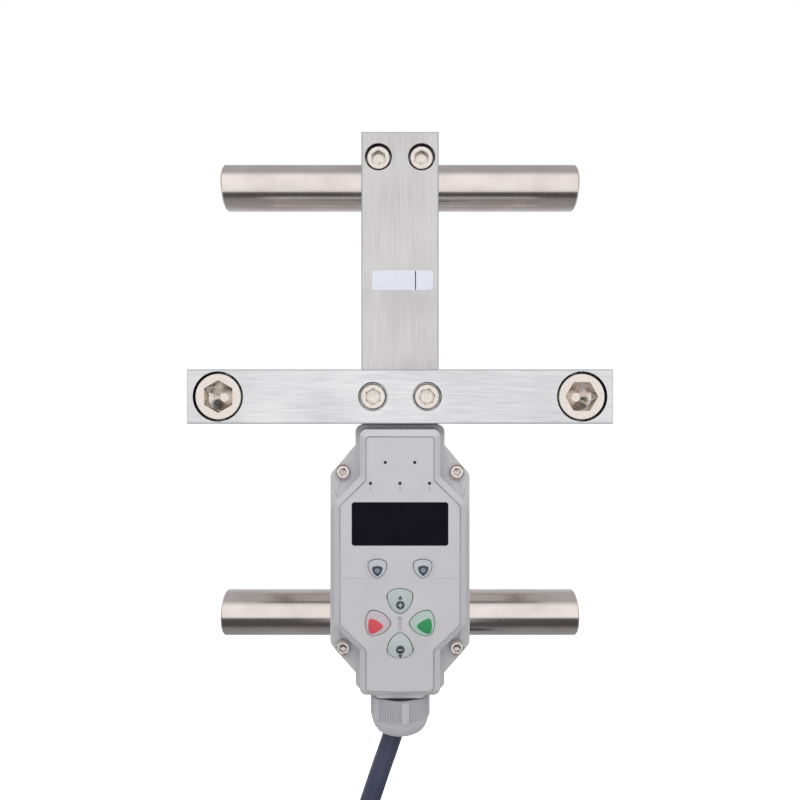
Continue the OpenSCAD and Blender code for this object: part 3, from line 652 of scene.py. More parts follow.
@dataclass
class Studio:
    """The camera at the photograph's viewpoint, a soft studio and a pale floor, in metres."""

    # Where the camera stands, its focal length in millimetres and its shift as a share.
    eye: tuple[float, float, float] = (0.0, -0.413, -0.0103)
    lens: float = 28.35
    lift: float = 0.0206
    floor_z: float = -0.42
    # The tones that light matt surfaces from straight below and from above. The upper one
    # holds from where a ray's Z reaches soft_top.
    soft_low: str = "#6c6c70"
    soft_high: str = "#dadadc"
    soft_top: float = 0.35
    # Name, place in metres, side in metres and power in watts of each soft lamp.
    lamps: tuple[tuple[str, tuple[float, float, float], float, float], ...] = (
        ("left_lamp", (-0.16, -0.52, 0.36), 0.3, 0.9),
        ("right_lamp", (0.16, -0.52, 0.36), 0.3, 0.9),
        ("top_lamp", (0.0, -0.25, 1.2), 0.9, 1.0),
    )
    lamps_aim: tuple[float, float, float] = (0.0, -0.05, -0.03)
    # The room that mirrors see, as plain tones by degrees from the front over the top: a white
    # wall in front, a grey ceiling, a light rear, a grey floor and a dark table edge.
    room: tuple[tuple[float, str], ...] = (
        (-180.0, "#dcdcde"),
        (-120.0, "#9c9c9f"),
        (-75.0, "#8c8c8f"),
        (-52.0, "#444446"),
        (-38.0, "#606062"),
        (-33.0, "#f4f4f4"),
        (0.0, "#ffffff"),
        (45.0, "#ffffff"),
        (70.0, "#b0b0b2"),
        (120.0, "#b0b0b2"),
        (180.0, "#dcdcde"),
    )
    # Two dark cards that the bars mirror below their bright band: where they stand and end.
    card_x: tuple[float, float] = (0.085, 6.0)
    card_y: float = -0.53
    card_top: float = -0.252
    card_foot: float = -0.8
    card_tone: str = "#505052"
    floor_side: float = 6.0
    floor_tone: str = "#f4f4f5"
    floor_glow: float = 0.75

    def place_camera(self) -> None:
        """Sets the camera level at the photograph's distance, with its small upward shift."""
        data = bpy.data.cameras.new("camera")
        data.sensor_width, data.lens, data.shift_y = 36.0, self.lens, self.lift
        data.clip_start, data.clip_end = 0.01, 50.0
        camera = linked("camera", data)
        camera.location = self.eye
        camera.rotation_euler = (math.radians(90), 0.0, 0.0)
        bpy.context.scene.camera = camera

    def light_room(self) -> None:
        """Lights the object by a room of level bands, white to the camera, and by soft lamps."""
        world = bpy.data.worlds.new("studio")
        bpy.context.scene.world = world
        world.use_nodes = True
        tree = world.node_tree
        tree.nodes.clear()
        ray = add_node(tree, "ShaderNodeTexCoord").outputs["Generated"]
        parts = add_node(tree, "ShaderNodeSeparateXYZ", {"Vector": ray})
        front = add_node(
            tree, "ShaderNodeMath", {0: parts.outputs["Y"], 1: -1.0}, operation="MULTIPLY"
        ).outputs[0]
        stops = [((degrees + 180) / 360, tone) for degrees, tone in self.room]
        bands = by_angle(tree, parts.outputs["Z"], front, stops).outputs["Color"]
        path = add_node(tree, "ShaderNodeLightPath")
        level = add_node(
            tree,
            "ShaderNodeMapRange",
            {"Value": parts.outputs["Z"], "From Min": -1.0, "From Max": self.soft_top},
        ).outputs["Result"]
        soft = add_node(
            tree,
            "ShaderNodeMix",
            {0: level, 6: linear(self.soft_low), 7: linear(self.soft_high)},
            data_type="RGBA",
        ).outputs[2]
        tone = add_node(
            tree,
            "ShaderNodeMix",
            {0: path.outputs["Is Glossy Ray"], 6: soft, 7: bands},
            data_type="RGBA",
        ).outputs[2]
        seen = path.outputs["Is Camera Ray"]
        room = add_node(tree, "ShaderNodeBackground", {"Color": tone}).outputs[0]
        white = add_node(tree, "ShaderNodeBackground", {"Color": (1, 1, 1, 1)}).outputs[0]
        mixed = add_node(tree, "ShaderNodeMixShader", {0: seen, 1: room, 2: white}).outputs[0]
        add_node(tree, "ShaderNodeOutputWorld", {"Surface": mixed})
        self.hang_lamps()

    def hang_lamps(self) -> None:
        """Hangs the soft lamps, which mirrors don't see."""
        for name, place, size, power in self.lamps:
            data = bpy.data.lights.new(name, "AREA")
            data.size, data.energy = size, power
            lamp = linked(name, data)
            lamp.location = place
            aim = Vector(self.lamps_aim) - Vector(place)
            lamp.rotation_euler = aim.to_track_quat("-Z", "Y").to_euler()
            lamp.visible_glossy = False

    def sheet(
        self, name: str, points: list[tuple[float, float, float]], title: str
    ) -> tuple[bpy.types.Object, bpy.types.NodeTree]:
        """Adds flat sheets, one for every four points, with an empty material.

        Args:
            name: the object's name.
            points: the sheets' corners.
            title: the material's name.

        Returns:
            The new object and its material's node tree.
        """
        mesh = bpy.data.meshes.new(name)
        mesh.from_pydata(points, [], np.arange(len(points)).reshape(-1, 4).tolist())
        material = bpy.data.materials.new(title)
        material.use_nodes = True
        material.node_tree.nodes.clear()
        mesh.materials.append(material)
        return linked(name, mesh), material.node_tree

    def hang_card(self) -> None:
        """Hangs a wide dark card low in front on either side, which only mirrors see."""
        (near, far), foot, top = self.card_x, self.card_foot, self.card_top
        outline = ((near, foot), (far, foot), (far, top), (near, top))
        points = [(side * x, self.card_y, z) for side in (1, -1) for x, z in outline]
        card, tree = self.sheet("dark_cards", points, "black_card")
        glow = add_node(tree, "ShaderNodeEmission", {"Color": linear(self.card_tone)}).outputs[0]
        add_node(tree, "ShaderNodeOutputMaterial", {"Surface": glow})
        card.visible_camera = card.visible_diffuse = card.visible_shadow = False
        card.visible_transmission = False
        card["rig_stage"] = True

    def lay_floor(self) -> None:
        """Lays a pale floor that keeps the object's shadow and that mirrors don't see."""
        side = self.floor_side
        outline = ((-side, -side), (side, -side), (side, side), (-side, side))
        points = [(x, y, self.floor_z) for x, y in outline]
        floor, tree = self.sheet("floor", points, "pale_floor")
        path = add_node(tree, "ShaderNodeLightPath")
        matt = add_node(tree, "ShaderNodeBsdfDiffuse", {"Color": linear(self.floor_tone)}).outputs[0]
        glow = add_node(
            tree, "ShaderNodeEmission", {"Color": (1, 1, 1, 1), "Strength": self.floor_glow}
        ).outputs[0]
        lit = add_node(tree, "ShaderNodeAddShader", {0: matt, 1: glow}).outputs[0]
        own = add_node(
            tree, "ShaderNodeMixShader", {0: path.outputs["Is Camera Ray"], 1: matt, 2: lit}
        ).outputs[0]
        clear = add_node(tree, "ShaderNodeBsdfTransparent").outputs[0]
        mixed = add_node(
            tree, "ShaderNodeMixShader", {0: path.outputs["Is Glossy Ray"], 1: own, 2: clear}
        ).outputs[0]
        add_node(tree, "ShaderNodeOutputMaterial", {"Surface": mixed})
        floor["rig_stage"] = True

    def build(self) -> None:
        """Sets up the camera, the light and the floor."""
        bpy.context.scene.view_settings.view_transform = "Standard"
        self.place_camera()
        self.light_room()
        self.hang_card()
        self.lay_floor()
        LOG.info("studio is set")


@dataclass
class HangingCable:
    """The lead from the gland, down and into a neat coil, with its bare cores."""

    diameter: float = 10.5
    # Its whole length along its middle line, in metres.
    length: float = 2.035
    depth: float = -77.0
    exit: tuple[float, float, float] = (-2.6, -77.0, -175.5)
    # X and Z of the lead's points, from inside the gland to the coil.
    lead: tuple[tuple[float, float], ...] = (
        (0, -149), (0, -155), (0, -160), (-0.4, -165), (-1.2, -170), (-2.4, -175),
        (-4, -180), (-6, -186), (-9.2, -195), (-13.6, -208), (-18, -221), (-22.4, -234),
        (-26.6, -248), (-30.4, -262), (-33.6, -277), (-36, -292), (-37.4, -307), (-38, -322),
    )  # fmt: skip
    coil_x: float = 19.5
    coil_z: float = -322.0
    coil_r: float = 57.5
    turns: int = 5
    per_turn: int = 16
    tail: float = 50.0
    tail_steps: tuple[float, ...] = (0.34, 0.67, 1.0)

    def route(self) -> np.ndarray:
        """The cable's axis: the lead, then a helix about the Y axis, then a straight tail.

        Returns:
            One row of X, Y and Z in millimetres for each point.
        """
        lead = np.array([(x, self.depth, z) for x, z in self.lead])
        step = np.arange(1, self.turns * self.per_turn + 1) / self.per_turn
        turn = math.pi + 2 * math.pi * step
        coil = np.stack(
            (
                self.coil_x + self.coil_r * np.cos(turn),
                self.depth + self.diameter * step,
                self.coil_z + self.coil_r * np.sin(turn),
            ),
            axis=1,
        )
        down = np.outer(self.tail_steps, (0.0, 0.0, -self.tail))
        return np.concatenate((lead, coil, coil[-1] + down))

    def jacket(self) -> bpy.types.Object:
        """The sheath: one open smooth curve through the route, with a round section.

        Returns:
            The new piece.
        """
        points = self.route() * MM
        data = bpy.data.curves.new("cable_jacket", "CURVE")
        data.dimensions, data.resolution_u = "3D", 4
        data.bevel_depth, data.bevel_resolution = self.diameter / 2 * MM, 5
        data.use_fill_caps = True
        line = data.splines.new("BEZIER")
        line.bezier_points.add(len(points) - 1)
        line.bezier_points.foreach_set("co", points.ravel())
        for point in line.bezier_points:
            point.handle_left_type = point.handle_right_type = "AUTO"
        line.use_smooth = True
        data.materials.append(SHEATH.make())
        jacket = linked("cable_jacket", data)
        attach(jacket, "frame")
        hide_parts("cable_lead", "cable_coil", "cable_tail")
        return jacket

    def straight_steps(self) -> float:
        """The length of the route by straight steps from point to point, in metres."""
        return float(np.linalg.norm(np.diff(self.route(), axis=0), axis=1).sum() * MM)

    def build(self, nodes: dict[str, bpy.types.Object]) -> None:
        """Args:
            nodes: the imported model's objects by name.
        """
        jacket = self.jacket()
        dress(nodes, {"core_ends": CORES, "cable_ties": TIE_NYLON})
        LOG.info("cable of %.3f m by straight steps", self.straight_steps())


def dress(nodes: dict[str, bpy.types.Object], finishes: dict[str, Finish]) -> None:
    """Gives CAD nodes their finishes.

    Args:
        nodes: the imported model's objects by name.
        finishes: the finish of each named node.
    """
    for name, finish in finishes.items():
        for slot in nodes[name].material_slots:
            slot.material = finish.make()
        LOG.info("%s: %s", name, finish.title)


@dataclass(frozen=True)
class Surface:
    """A front face: flat, or crowned as part of a large ball."""

    front: float
    centre: tuple[float, float] = (0.0, 0.0)
    crown: float = 0.0

    def depth(self, x: np.ndarray, z: np.ndarray) -> np.ndarray:
        """The face's Y at points X, Z: the front, and behind it by the ball's fall from its top.

        Args:
            x: the points' X.
            z: the points' Z.

        Returns:
            Y for each point.
        """
        if not self.crown:
            return np.full(x.shape, self.front)
        away = (x - self.centre[0]) ** 2 + (z - self.centre[1]) ** 2
        return self.front + self.crown - np.sqrt(self.crown**2 - away)


@dataclass
class Print:
    """A thin mark that lies on a surface.

    The hole is the share of the outline that stays open in its middle, and a mark without
    one starts from a pinhole too small to see. The film is its height over the surface, and
    its edge ends a little below the surface.
    """

    name: str
    finish: Finish
    outline: np.ndarray
    hole: float = 0.0
    film: float = 0.03
    sunk: float = 0.05
    rings: int = 5
    pinhole: float = 1e-4

    def build(self, body: str, surface: Surface, slot: str) -> None:
        """Makes the mark: rings of its outline drawn in to its centre, each set on the surface.

        Args:
            body: the body that it rides on.
            surface: the surface that it lies on.
            slot: the record's material slot; it is not used.
        """
        centre = self.outline.mean(axis=0)
        start = self.hole or self.pinhole
        shares = np.array([start, *np.linspace(start, 1.0, self.rings), 1.0])
        lifts = np.array([-self.sunk, *([self.film] * self.rings), -self.sunk])
        flat = centre + shares[:, None, None] * (self.outline[None] - centre)
        depth = surface.depth(flat[..., 0], flat[..., 1]) - lifts[:, None]
        points = np.stack((flat[..., 0], depth, flat[..., 1]), axis=-1)
        if not self.hole:
            points = points[1:]
        faces = ring_faces(len(points), len(self.outline))
        piece = piece_from(self.name, points, faces, self.finish.make(), smooth=60.0)
        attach(piece, body)


def disc(x: float, z: float, radius: float, count: int = 40) -> np.ndarray:
    """A circle's outline about X, Z, by cosine and sine."""
    turn = np.linspace(0, 2 * math.pi, count, endpoint=False)
    return np.stack((x + radius * np.cos(turn), z + radius * np.sin(turn)), axis=1)


def pointed(
    x: float, z: float, way: Way, half: float, corner: float, bulge: float
) -> np.ndarray:
    """A triangle with rounded corners and swollen sides.

    Each corner is an arc about a point of an inner triangle, and each side between two
    arcs swells by half a sine wave.

    Args:
        x: its middle's X.
        z: its middle's Z.
        way: the way that one corner points.
        half: from its middle to the inner triangle's corners.
        corner: the radius of its corners.
        bulge: how far its sides swell.

    Returns:
        One row of X and Z for each point.
    """
    parts = []
    for k in range(3):
        ahead = math.radians(way.value + 120 * k)
        tip = np.array((math.cos(ahead), math.sin(ahead))) * half
        arc = ahead + np.linspace(-math.pi / 3, math.pi / 3, 9)
        parts.append(tip + corner * np.stack((np.cos(arc), np.sin(arc)), axis=1))
        onward = ahead + math.radians(120)
        after = np.array((math.cos(onward), math.sin(onward))) * half
        normal = np.array((math.cos(ahead + math.pi / 3), math.sin(ahead + math.pi / 3)))
        share = np.linspace(0, 1, 10)[1:-1, None]
        side = tip + share * (after - tip)
        swell = corner + bulge * np.sin(math.pi * share)
        parts.append(side + swell * normal)
    return np.concatenate(parts) + np.array((x, z))


def bar_mark(x: float, z: float, long: float, thick: float) -> np.ndarray:
    """A bar's outline about X, Z."""
    a, b = long / 2, thick / 2
    return np.array(((a, b), (-a, b), (-a, -b), (a, -b))) + np.array((x, z))


def plus_mark(x: float, z: float, long: float, thick: float) -> np.ndarray:
    """A plus sign's outline: four arms joined at their inner corners.

    Args:
        x: its middle's X.
        z: its middle's Z.
        long: its width and height.
        thick: the width of an arm.

    Returns:
        One row of X and Z for each corner.
    """
    a, b = long / 2, thick / 2
    corners = (
        (a, b), (b, b), (b, a), (-b, a), (-b, b), (-a, b),
        (-a, -b), (-b, -b), (-b, -a), (b, -a), (b, -b), (a, -b),
    )  # fmt: skip
    return np.array(corners) + np.array((x, z))


@dataclass(frozen=True)
class CapScrew:
    """A socket head cap screw along Y: a knurled head, a hexagon socket and its drill point.

    The whole screw is one grid: each row is a ring round the axis with its own radius and Y.
    The knurl adds the sine's size to the radius, one hump a tooth. The hexagon's radius is
    half its width over the cosine of the angle from the nearest flat's middle.

    Thread and head are diameters, the hexagon is across its flats, the dimple is the radius
    of the drill point, which lies as deep as the cone, and edge is the chamfer of the head.
    """

    thread: float
    head: float
    height: float
    hexagon: float
    socket: float
    dimple: float
    cone: float
    teeth: int = 0
    edge: float = 0.35
    count: int = 360
    tooth: float = 0.14
    inset: float = 0.05
    point: float = 0.7
    foot: float = 0.3
    bevel: float = 0.2

    def points(self, place: tuple[float, float], top: float, end: float, turn: float) -> np.ndarray:
        """The screw's rings.

        Args:
            place: X and Z of its axis.
            top: Y of the head's front.
            end: Y of the thread's end.
            turn: degrees from +X to a corner of its hexagon.

        Returns:
            Rows by points by X, Y and Z, in millimetres.
        """
        angle = np.linspace(0, 2 * math.pi, self.count, endpoint=False)
        off = (angle - math.radians(turn)) % (math.pi / 3) - math.pi / 6
        across = self.hexagon / 2 / np.cos(off)
        humps = self.tooth * np.abs(np.sin(angle * self.teeth / 2))
        rim, bolt = self.head / 2, self.thread / 2
        knurl, smooth = rim + humps - self.inset, rim - self.inset
        seat, brow, floor = top + self.height, top + self.edge, top + self.socket
        rings = (
            (0.0, end),
            (bolt - self.point, end),
            (bolt, end - self.point),
            (bolt, seat),
            (rim - self.foot, seat),
            (smooth, seat - self.foot),
            (knurl, seat - self.foot - self.bevel),
            (knurl, brow + 2 * self.bevel),
            (smooth, brow + self.bevel),
            (smooth, brow),
            (smooth - self.edge, top),
            (across + self.bevel, top),
            (across, top + self.bevel),
            (across, floor),
            (self.hexagon / 2 - self.inset, floor),
            (self.dimple, top + self.cone),
            (0.0, top + self.cone),
        )
        radius = np.array([np.broadcast_to(r, angle.shape) for r, _ in rings])
        depth = np.array([y for _, y in rings])[:, None] + np.zeros_like(radius)
        x, z = place[0] + radius * np.cos(angle), place[1] + radius * np.sin(angle)
        return np.stack((x, depth, z), axis=-1)

    def build(
        self,
        nodes: dict[str, bpy.types.Object],
        node: str,
        name: str,
        axes: tuple[tuple[float, float, float], ...],
    ) -> None:
        """Stands detailed screws in for a node of plain ones.

        Args:
            nodes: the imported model's objects by name.
            node: the node that the piece stands for.
            name: the piece's name.
            axes: X, Z and the turn of each screw.
        """
        low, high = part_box(node)
        grids = [self.points((x, z), low[1] / MM, high[1] / MM, turn) for x, z, turn in axes]
        rows = len(grids[0])
        faces = ring_faces(rows, self.count)
        every = np.concatenate([faces + i * rows * self.count for i in range(len(grids))])
        piece = piece_from(name, np.concatenate(grids), every, NICKEL.make(), smooth=30.0)
        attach(piece, nodes[node]["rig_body"])
        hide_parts(node)


@dataclass
class BendingFrame:
    """The load beam, the crossbar, the three round bars and what clamps them."""

    bolt_x: float = 94.0
    cap_x: float = 12.0
    cross_cap_x: float = 14.0
    bar_z: float = 134.0
    bolt: CapScrew = CapScrew(
        thread=16.0, head=24.0, height=16.0, hexagon=14.4, socket=8.0, dimple=2.35, cone=11.5, teeth=60
    )
    cap: CapScrew = CapScrew(
        thread=8.0, head=13.0, height=8.0, hexagon=7.2, socket=4.0, dimple=1.1, cone=5.2, teeth=40
    )
    # The turn of the left and the right hexagon of each pair, in degrees.
    bolt_turns: tuple[float, float] = (30.0, 0.0)
    cap_turns: tuple[float, float] = (30.0, 30.0)
    cross_turns: tuple[float, float] = (30.0, 12.0)
    label_front: float = -63.2
    # X, Z, length and width of the rule that parts the label.
    rule: tuple[float, float, float, float] = (8.6, 65.3, 0.6, 10.4)
    rule_film: float = 0.02
    finishes: dict[str, Finish] = field(
        default_factory=lambda: {
            "load_beam": SATIN_STEEL,
            "upper_round_bar": POLISHED_STEEL,
            "lower_round_bar": POLISHED_STEEL,
            "rear_clamp_bar": POLISHED_STEEL,
            "crossbar": BRUSHED_STEEL,
            "lower_bar_screws": NICKEL,
            "plate_screws": NICKEL,
            "beam_label": LABEL_FILM,
            "strain_gauges": FOIL,
            "gauge_lead": LEAD_WHITE,
        }
    )

    def pair(
        self, x: float, z: float, turns: tuple[float, float]
    ) -> tuple[tuple[float, float, float], ...]:
        """X, Z and turn of two screws, x to the left and right of the middle."""
        return (-x, z, turns[0]), (x, z, turns[1])

    def build(self, nodes: dict[str, bpy.types.Object]) -> None:
        """Dresses the frame, and adds its detailed screws and the label's rule.

        Args:
            nodes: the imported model's objects by name.
        """
        dress(nodes, self.finishes)
        bolts = self.pair(self.bolt_x, 0.0, self.bolt_turns)
        for side, axis in zip(("left", "right"), bolts):
            self.bolt.build(nodes, f"{side}_clamp_bolt", f"{side}_bolt_steel", (axis,))
        upper = self.pair(self.cap_x, self.bar_z, self.cap_turns)
        self.cap.build(nodes, "upper_bar_screws", "upper_caps", upper)
        middle = self.pair(self.cross_cap_x, 0.0, self.cross_turns)
        self.cap.build(nodes, "crossbar_screws", "crossbar_caps", middle)
        rule = Print("label_rule", LABEL_INK, bar_mark(*self.rule), film=self.rule_film)
        rule.build("frame", Surface(self.label_front), "label_film")
        LOG.info("bending frame is dressed")


@dataclass
class DisplayUnit:
    """The housing on the beam's front with its window, lights, screws and what is inside."""

    panel: float = -92.5
    flange: float = -79.0
    rounding: float = 0.35
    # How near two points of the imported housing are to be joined.
    merge: float = 0.002
    # An edge belongs to the panel from just before to just behind its face. Near and level
    # are how close it has to be to the flange or the dome's rim, and to the face itself.
    before: float = 0.2
    behind: float = 0.3
    near: float = 0.5
    level: float = 0.012
    # The panel's part with holes, whose rims stay sharp: its Z, and its half width above and
    # below the shoulder.
    holes_z: tuple[float, float] = (-136.0, -28.0)
    holes_half: tuple[float, float] = (16.5, 26.0)
    shoulder_z: float = -52.0
    lights: tuple[tuple[float, str], ...] = ((-15.0, "1"), (0.0, "2"), (15.0, "3"))
    digit_z: float = -48.2
    digit_high: float = 3.0
    ink: float = 0.03
    dome_z: float = -115.4
    dome_r: float = 18.5
    ear_screw: CapScrew = CapScrew(
        thread=4.0, head=7.6, height=2.9, hexagon=3.5, socket=1.5, dimple=0.6, cone=2.1,
        edge=0.7, count=72,
    )  # fmt: skip
    # X, Z and turn of each ear screw.
    ears: tuple[tuple[float, float, float], ...] = (
        (-30.0, -39.4, 12.0), (30.0, -39.4, -8.0), (-30.0, -132.2, 25.0), (30.0, -132.2, 3.0),
    )  # fmt: skip
    # The raised line beside the right small key, in X and Z, and the tick above the key.
    hook: tuple[tuple[float, float], ...] = (
        (29.4, -92.7), (24.0, -92.7), (18.6, -92.7), (15.6, -92.7), (15.9, -92.0),
        (16.7, -90.0), (17.9, -87.3), (18.1, -86.0), (17.7, -84.7), (16.7, -83.6),
        (15.4, -83.0), (14.2, -82.8), (13.0, -82.8), (12.4, -82.8),
    )  # fmt: skip
    tick: tuple[tuple[float, float], ...] = ((12.9, -82.8), (12.9, -81.9), (12.9, -80.8))
    line_wide: float = 0.3
    line_high: float = 0.09
    line_sunk: float = 0.02
    finishes: dict[str, Finish] = field(
        default_factory=lambda: {
            "back_plate": HOUSING_ABS,
            "threaded_inserts": BRASS,
            "housing_gasket": BLACK_RUBBER,
            "display_window": WINDOW,
            "display_module": DISPLAY_BLACK,
            "circuit_board": BOARD_GREEN,
            "board_screws": NICKEL,
            "status_lights": LAMP_LENS,
            "keypad_mat": KEY_SILICONE,
            "tact_switches": SWITCH_GREY,
            "terminal_block": TERMINAL_GREEN,
            "inner_cores": LEAD_WHITE,
        }
    )

    def line(self, name: str, route: np.ndarray) -> None:
        """Draws a fine raised line on the panel: a low profile carried along a flat path.

        The profile is half an ellipse, the cosine across the path and the sine out of the
        panel.

        Args:
            name: the piece's name.
            route: one row of X and Z for each point of the path.
        """
        along = np.gradient(route, axis=0)
        along /= np.linalg.norm(along, axis=1, keepdims=True)
        across = np.stack((-along[:, 1], along[:, 0]), axis=1)
        turn = np.linspace(0, math.pi, 7)
        offset = np.cos(turn) * self.line_wide / 2
        lift = np.sin(turn) * self.line_high
        flat = route[:, None, :] + offset[None, :, None] * across[:, None, :]
        depth = self.panel - np.broadcast_to(lift, flat.shape[:2]) + self.line_sunk
        points = np.stack((flat[..., 0], depth, flat[..., 1]), axis=-1)
        faces = ring_faces(len(route), len(turn))
        # The darker grey is painted shade for a groove's shadow; the line's relief is real.
        piece = piece_from(name, points, faces, GROOVE_SHADE_GREY.make(), smooth=60.0)
        work = bmesh.new()
        work.from_mesh(piece.data)
        bmesh.ops.holes_fill(work, edges=[e for e in work.edges if e.is_boundary], sides=0)
        bmesh.ops.recalc_face_normals(work, faces=work.faces)
        work.to_mesh(piece.data)
        work.free()
        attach(piece, "frame")

    def shell(self, node: bpy.types.Object) -> None:
        """Stands a copy with rounded outer edges in for the housing.

        Args:
            node: the housing as packed.
        """
        mesh = node.data.copy()
        mesh.name = "front_shell"
        outward(mesh, self.merge)
        work = bmesh.new()
        work.from_mesh(mesh)
        weight = work.edges.layers.float.new("bevel_weight_edge")
        for edge in work.edges:
            middle = (edge.verts[0].co + edge.verts[1].co) / 2 / MM
            sharp = edge.calc_face_angle(0.0) > FOLD
            rounded = sharp and not self.keeps_sharp(middle)
            edge[weight] = 1.0 if rounded else 0.0
            edge.smooth = not (sharp and not rounded or self.rims_dome(middle))
        for face in work.faces:
            face.smooth = True
        work.to_mesh(mesh)
        work.free()
        mesh.materials.clear()
        mesh.materials.append(HOUSING_ABS.make())
        piece = linked("front_shell", mesh)
        bevel = piece.modifiers.new("rounding", "BEVEL")
        bevel.width, bevel.segments = self.rounding * MM, 3
        bevel.limit_method = "WEIGHT"
        bevel.use_clamp_overlap = False
        flat = piece.modifiers.new("flat_faces_stay_flat", "WEIGHTED_NORMAL")
        flat.weight, flat.keep_sharp = 100, True
        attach(piece, node["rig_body"])
        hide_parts("front_housing")

    def keeps_sharp(self, middle: Vector) -> bool:
        """Whether an edge stays sharp: inside the shell, or at the rim of a hole in the panel.

        Args:
            middle: the edge's middle, in millimetres.

        Returns:
            True where it stays sharp.
        """
        if middle.y > self.panel + self.behind:
            return abs(middle.y - self.flange) > self.near
        half = self.holes_half[0 if middle.z > self.shoulder_z else 1]
        low, high = self.holes_z
        on_panel = middle.y > self.panel - self.before
        return on_panel and abs(middle.x) < half and low < middle.z < high

    def rims_dome(self, middle: Vector) -> bool:
        """Whether an edge lies where the low dome round the keys leaves the panel."""
        away = math.hypot(middle.x, middle.z - self.dome_z)
        return abs(away - self.dome_r) < self.near and abs(middle.y - self.panel) < self.level

    def digit(self, x: float, sign: str) -> None:
        """Prints a plain number under a light: flat lettering stood up on the panel.

        Args:
            x: its middle's X.
            sign: the number.
        """
        data = bpy.data.curves.new(f"number_{sign}", "FONT")
        data.body, data.align_x = sign, "CENTER"
        data.size, data.extrude = self.digit_high * MM, self.ink * MM
        text = linked("lettering", data)
        bpy.context.view_layer.update()
        mesh = bpy.data.meshes.new_from_object(text)
        bpy.data.objects.remove(text)
        flat = np.empty(len(mesh.vertices) * 3)
        mesh.vertices.foreach_get("co", flat)
        flat = flat.reshape(-1, 3)
        flat += np.array((x, self.digit_z, self.ink - self.panel)) * MM
        placed = np.stack((flat[:, 0], -flat[:, 2], flat[:, 1]), axis=1)
        mesh.vertices.foreach_set("co", placed.ravel())
        outward(mesh)
        mesh.materials.clear()
        mesh.materials.append(INK_GREY.make())
        piece = linked(f"number_{sign}", mesh)
        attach(piece, "frame")

    def build(self, nodes: dict[str, bpy.types.Object]) -> None:
        """Dresses the unit and adds its rounded shell, its lines and its numbers.

        Args:
            nodes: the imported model's objects by name.
        """
        dress(nodes, self.finishes)
        self.shell(nodes["front_housing"])
        self.ear_screw.build(nodes, "housing_screws", "ear_screws", self.ears)
        for side, sign in (("left", -1.0), ("right", 1.0)):
            self.line(f"{side}_key_line", np.array(self.hook) * (sign, 1.0))
            self.line(f"{side}_key_tick", np.array(self.tick) * (sign, 1.0))
        for x, sign in self.lights:
            self.digit(x, sign)
        LOG.info("display unit is dressed")


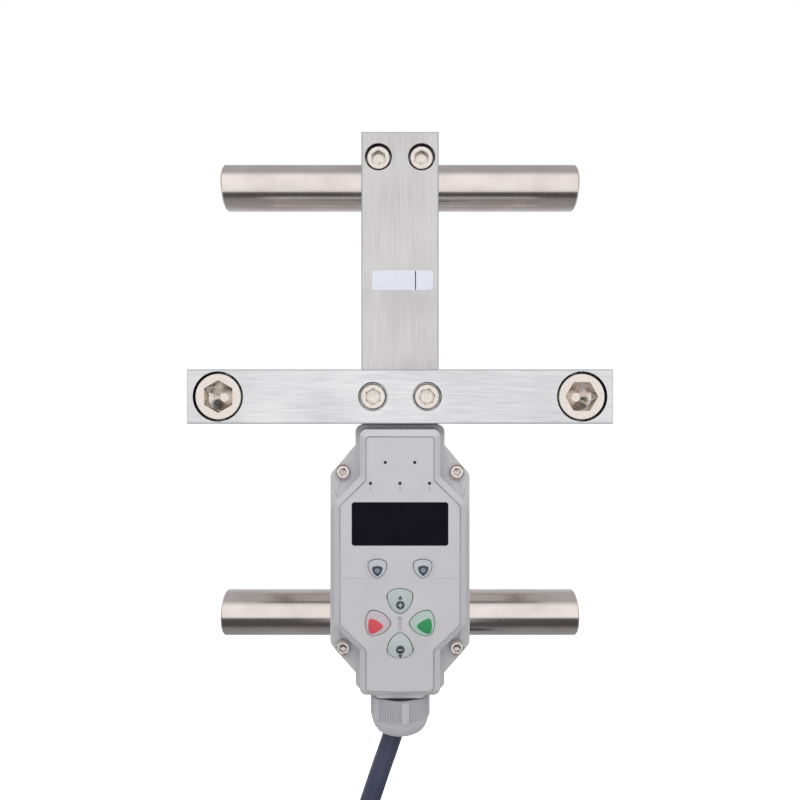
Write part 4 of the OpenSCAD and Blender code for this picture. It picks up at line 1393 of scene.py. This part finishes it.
@dataclass
class KeyPad:
    """The six keys: small ones for functions and four big ones on the low dome."""

    front: float = -93.6
    crown: float = 30.0
    # Side, X of the key's middle, and X and Z of its mark.
    small: tuple[tuple[str, float, float, float], ...] = (
        ("left", -11.5, -11.5, -88.4),
        ("right", 11.5, 11.8, -88.2),
    )
    small_z: float = -87.2
    # Way, Z of the key's middle, of its arrow and of its disc.
    steps: tuple[tuple[Way, float, float, float], ...] = (
        (Way.UP, -103.6, -102.4, -106.0),
        (Way.DOWN, -127.2, -131.9, -128.7),
    )
    steps_x: float = 0.15
    side_x: float = 11.8
    side_z: float = -115.4
    side_at: tuple[float, float] = (13.0, -116.8)
    # From the middle to the inner corners, corner radius and bulge of each kind of triangle.
    small_mark: tuple[float, float, float] = (1.95, 1.0, 0.35)
    arrow: tuple[float, float, float] = (1.15, 0.12, 0.0)
    side_mark: tuple[float, float, float] = (2.85, 1.5, 0.3)
    # Radius and open share of the small keys' rings, and how far these lie below the middle.
    ring: tuple[float, float] = (1.1, 0.78)
    ring_low: float = 0.1
    dot_r: float = 0.36
    disc_r: float = 2.2
    # Length and thickness of the plus and minus, and the film of pale ink, which is thicker
    # than the dark ink's so that it shows over it.
    stroke: tuple[float, float] = (2.4, 0.5)
    over: float = 0.05
    finishes: dict[str, Finish] = field(
        default_factory=lambda: {
            "left_small_key": KEY_SILICONE,
            "right_small_key": KEY_SILICONE,
            "up_key": MINT_SILICONE,
            "down_key": MINT_SILICONE,
            "left_red_key": ROSE_SILICONE,
            "right_green_key": GREEN_SILICONE,
        }
    )

    def face(self, x: float, z: float) -> Surface:
        """The crowned top of the key about X, Z."""
        return Surface(self.front, (x, z), self.crown)

    def mark_small(self, side: str, key_x: float, x: float, z: float) -> None:
        """Prints a dark triangle with a pale ring and dot on a small key.

        Args:
            side: the key's side.
            key_x: X of the key's middle.
            x: X of the mark.
            z: Z of the mark.
        """
        key, ring_z, (radius, hole) = f"{side}_small_key", z - self.ring_low, self.ring
        for part in (
            Print(f"{key}_mark", INK_NAVY, pointed(x, z, Way.DOWN, *self.small_mark)),
            Print(f"{key}_ring", INK_PALE, disc(x, ring_z, radius), hole, self.over),
            Print(f"{key}_dot", INK_PALE, disc(x, ring_z, self.dot_r), film=self.over),
        ):
            part.build(key, self.face(key_x, self.small_z), "key_rubber")

    def mark_step(self, way: Way, key_z: float, arrow_z: float, disc_z: float) -> None:
        """Prints an arrow, and a plus or a minus on a dark disc, on the upper or lower key.

        Args:
            way: the way that the arrow points.
            key_z: Z of the key's middle.
            arrow_z: Z of the arrow.
            disc_z: Z of the disc.
        """
        key, x = f"{way.name.lower()}_key", self.steps_x
        sign, outline = ("plus", plus_mark) if way is Way.UP else ("minus", bar_mark)
        for part in (
            Print(f"{key}_arrow", INK_NAVY, pointed(x, arrow_z, way, *self.arrow)),
            Print(f"{key}_disc", INK_NAVY, disc(x, disc_z, self.disc_r)),
            Print(f"{key}_{sign}", INK_PALE, outline(x, disc_z, *self.stroke), film=self.over),
        ):
            part.build(key, self.face(0.0, key_z), "key_rubber")

    def build(self, nodes: dict[str, bpy.types.Object]) -> None:
        """Dresses the keys and prints their marks.

        Args:
            nodes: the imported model's objects by name.
        """
        dress(nodes, self.finishes)
        for side, key_x, x, z in self.small:
            self.mark_small(side, key_x, x, z)
        for way, key_z, arrow_z, disc_z in self.steps:
            self.mark_step(way, key_z, arrow_z, disc_z)
        x, z = self.side_at
        for side, colour, ink, sign, way in (
            ("left", "red", INK_RED, -1.0, Way.RIGHT),
            ("right", "green", INK_GREEN, 1.0, Way.LEFT),
        ):
            mark = Print(f"{colour}_key_mark", ink, pointed(sign * x, z, way, *self.side_mark))
            face = self.face(sign * self.side_x, self.side_z)
            mark.build(f"{side}_{colour}_key", face, f"{colour}_key_rubber")
        LOG.info("key pad is dressed")


@dataclass
class CableGland:
    """The screwed entry under the housing that grips the cable."""

    def build(self, nodes: dict[str, bpy.types.Object]) -> None:
        """Dresses the gland's parts.

        Args:
            nodes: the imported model's objects by name.
        """
        dress(
            nodes,
            {
                "gland_body": GLAND_NYLON,
                "gland_nut": GLAND_NYLON,
                "gland_washer": BLACK_RUBBER,
                "gland_seal": BLACK_RUBBER,
            },
        )
        LOG.info("cable gland is dressed")


def corners() -> list[list[float]]:
    """The whole object's lowest and highest corners, as plain numbers."""
    return [[float(v) for v in corner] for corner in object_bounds()]


def main() -> None:
    """Builds the studio and every sub-assembly in order."""
    logging.basicConfig(level=logging.INFO, format="%(name)s: %(message)s")
    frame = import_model()
    nodes = frame["nodes"]
    Studio().build()
    for assembly in (HangingCable(), BendingFrame(), DisplayUnit(), KeyPad(), CableGland()):
        assembly.build(nodes)
    bpy.context.view_layer.update()


if __name__ == "__main__":
    main()
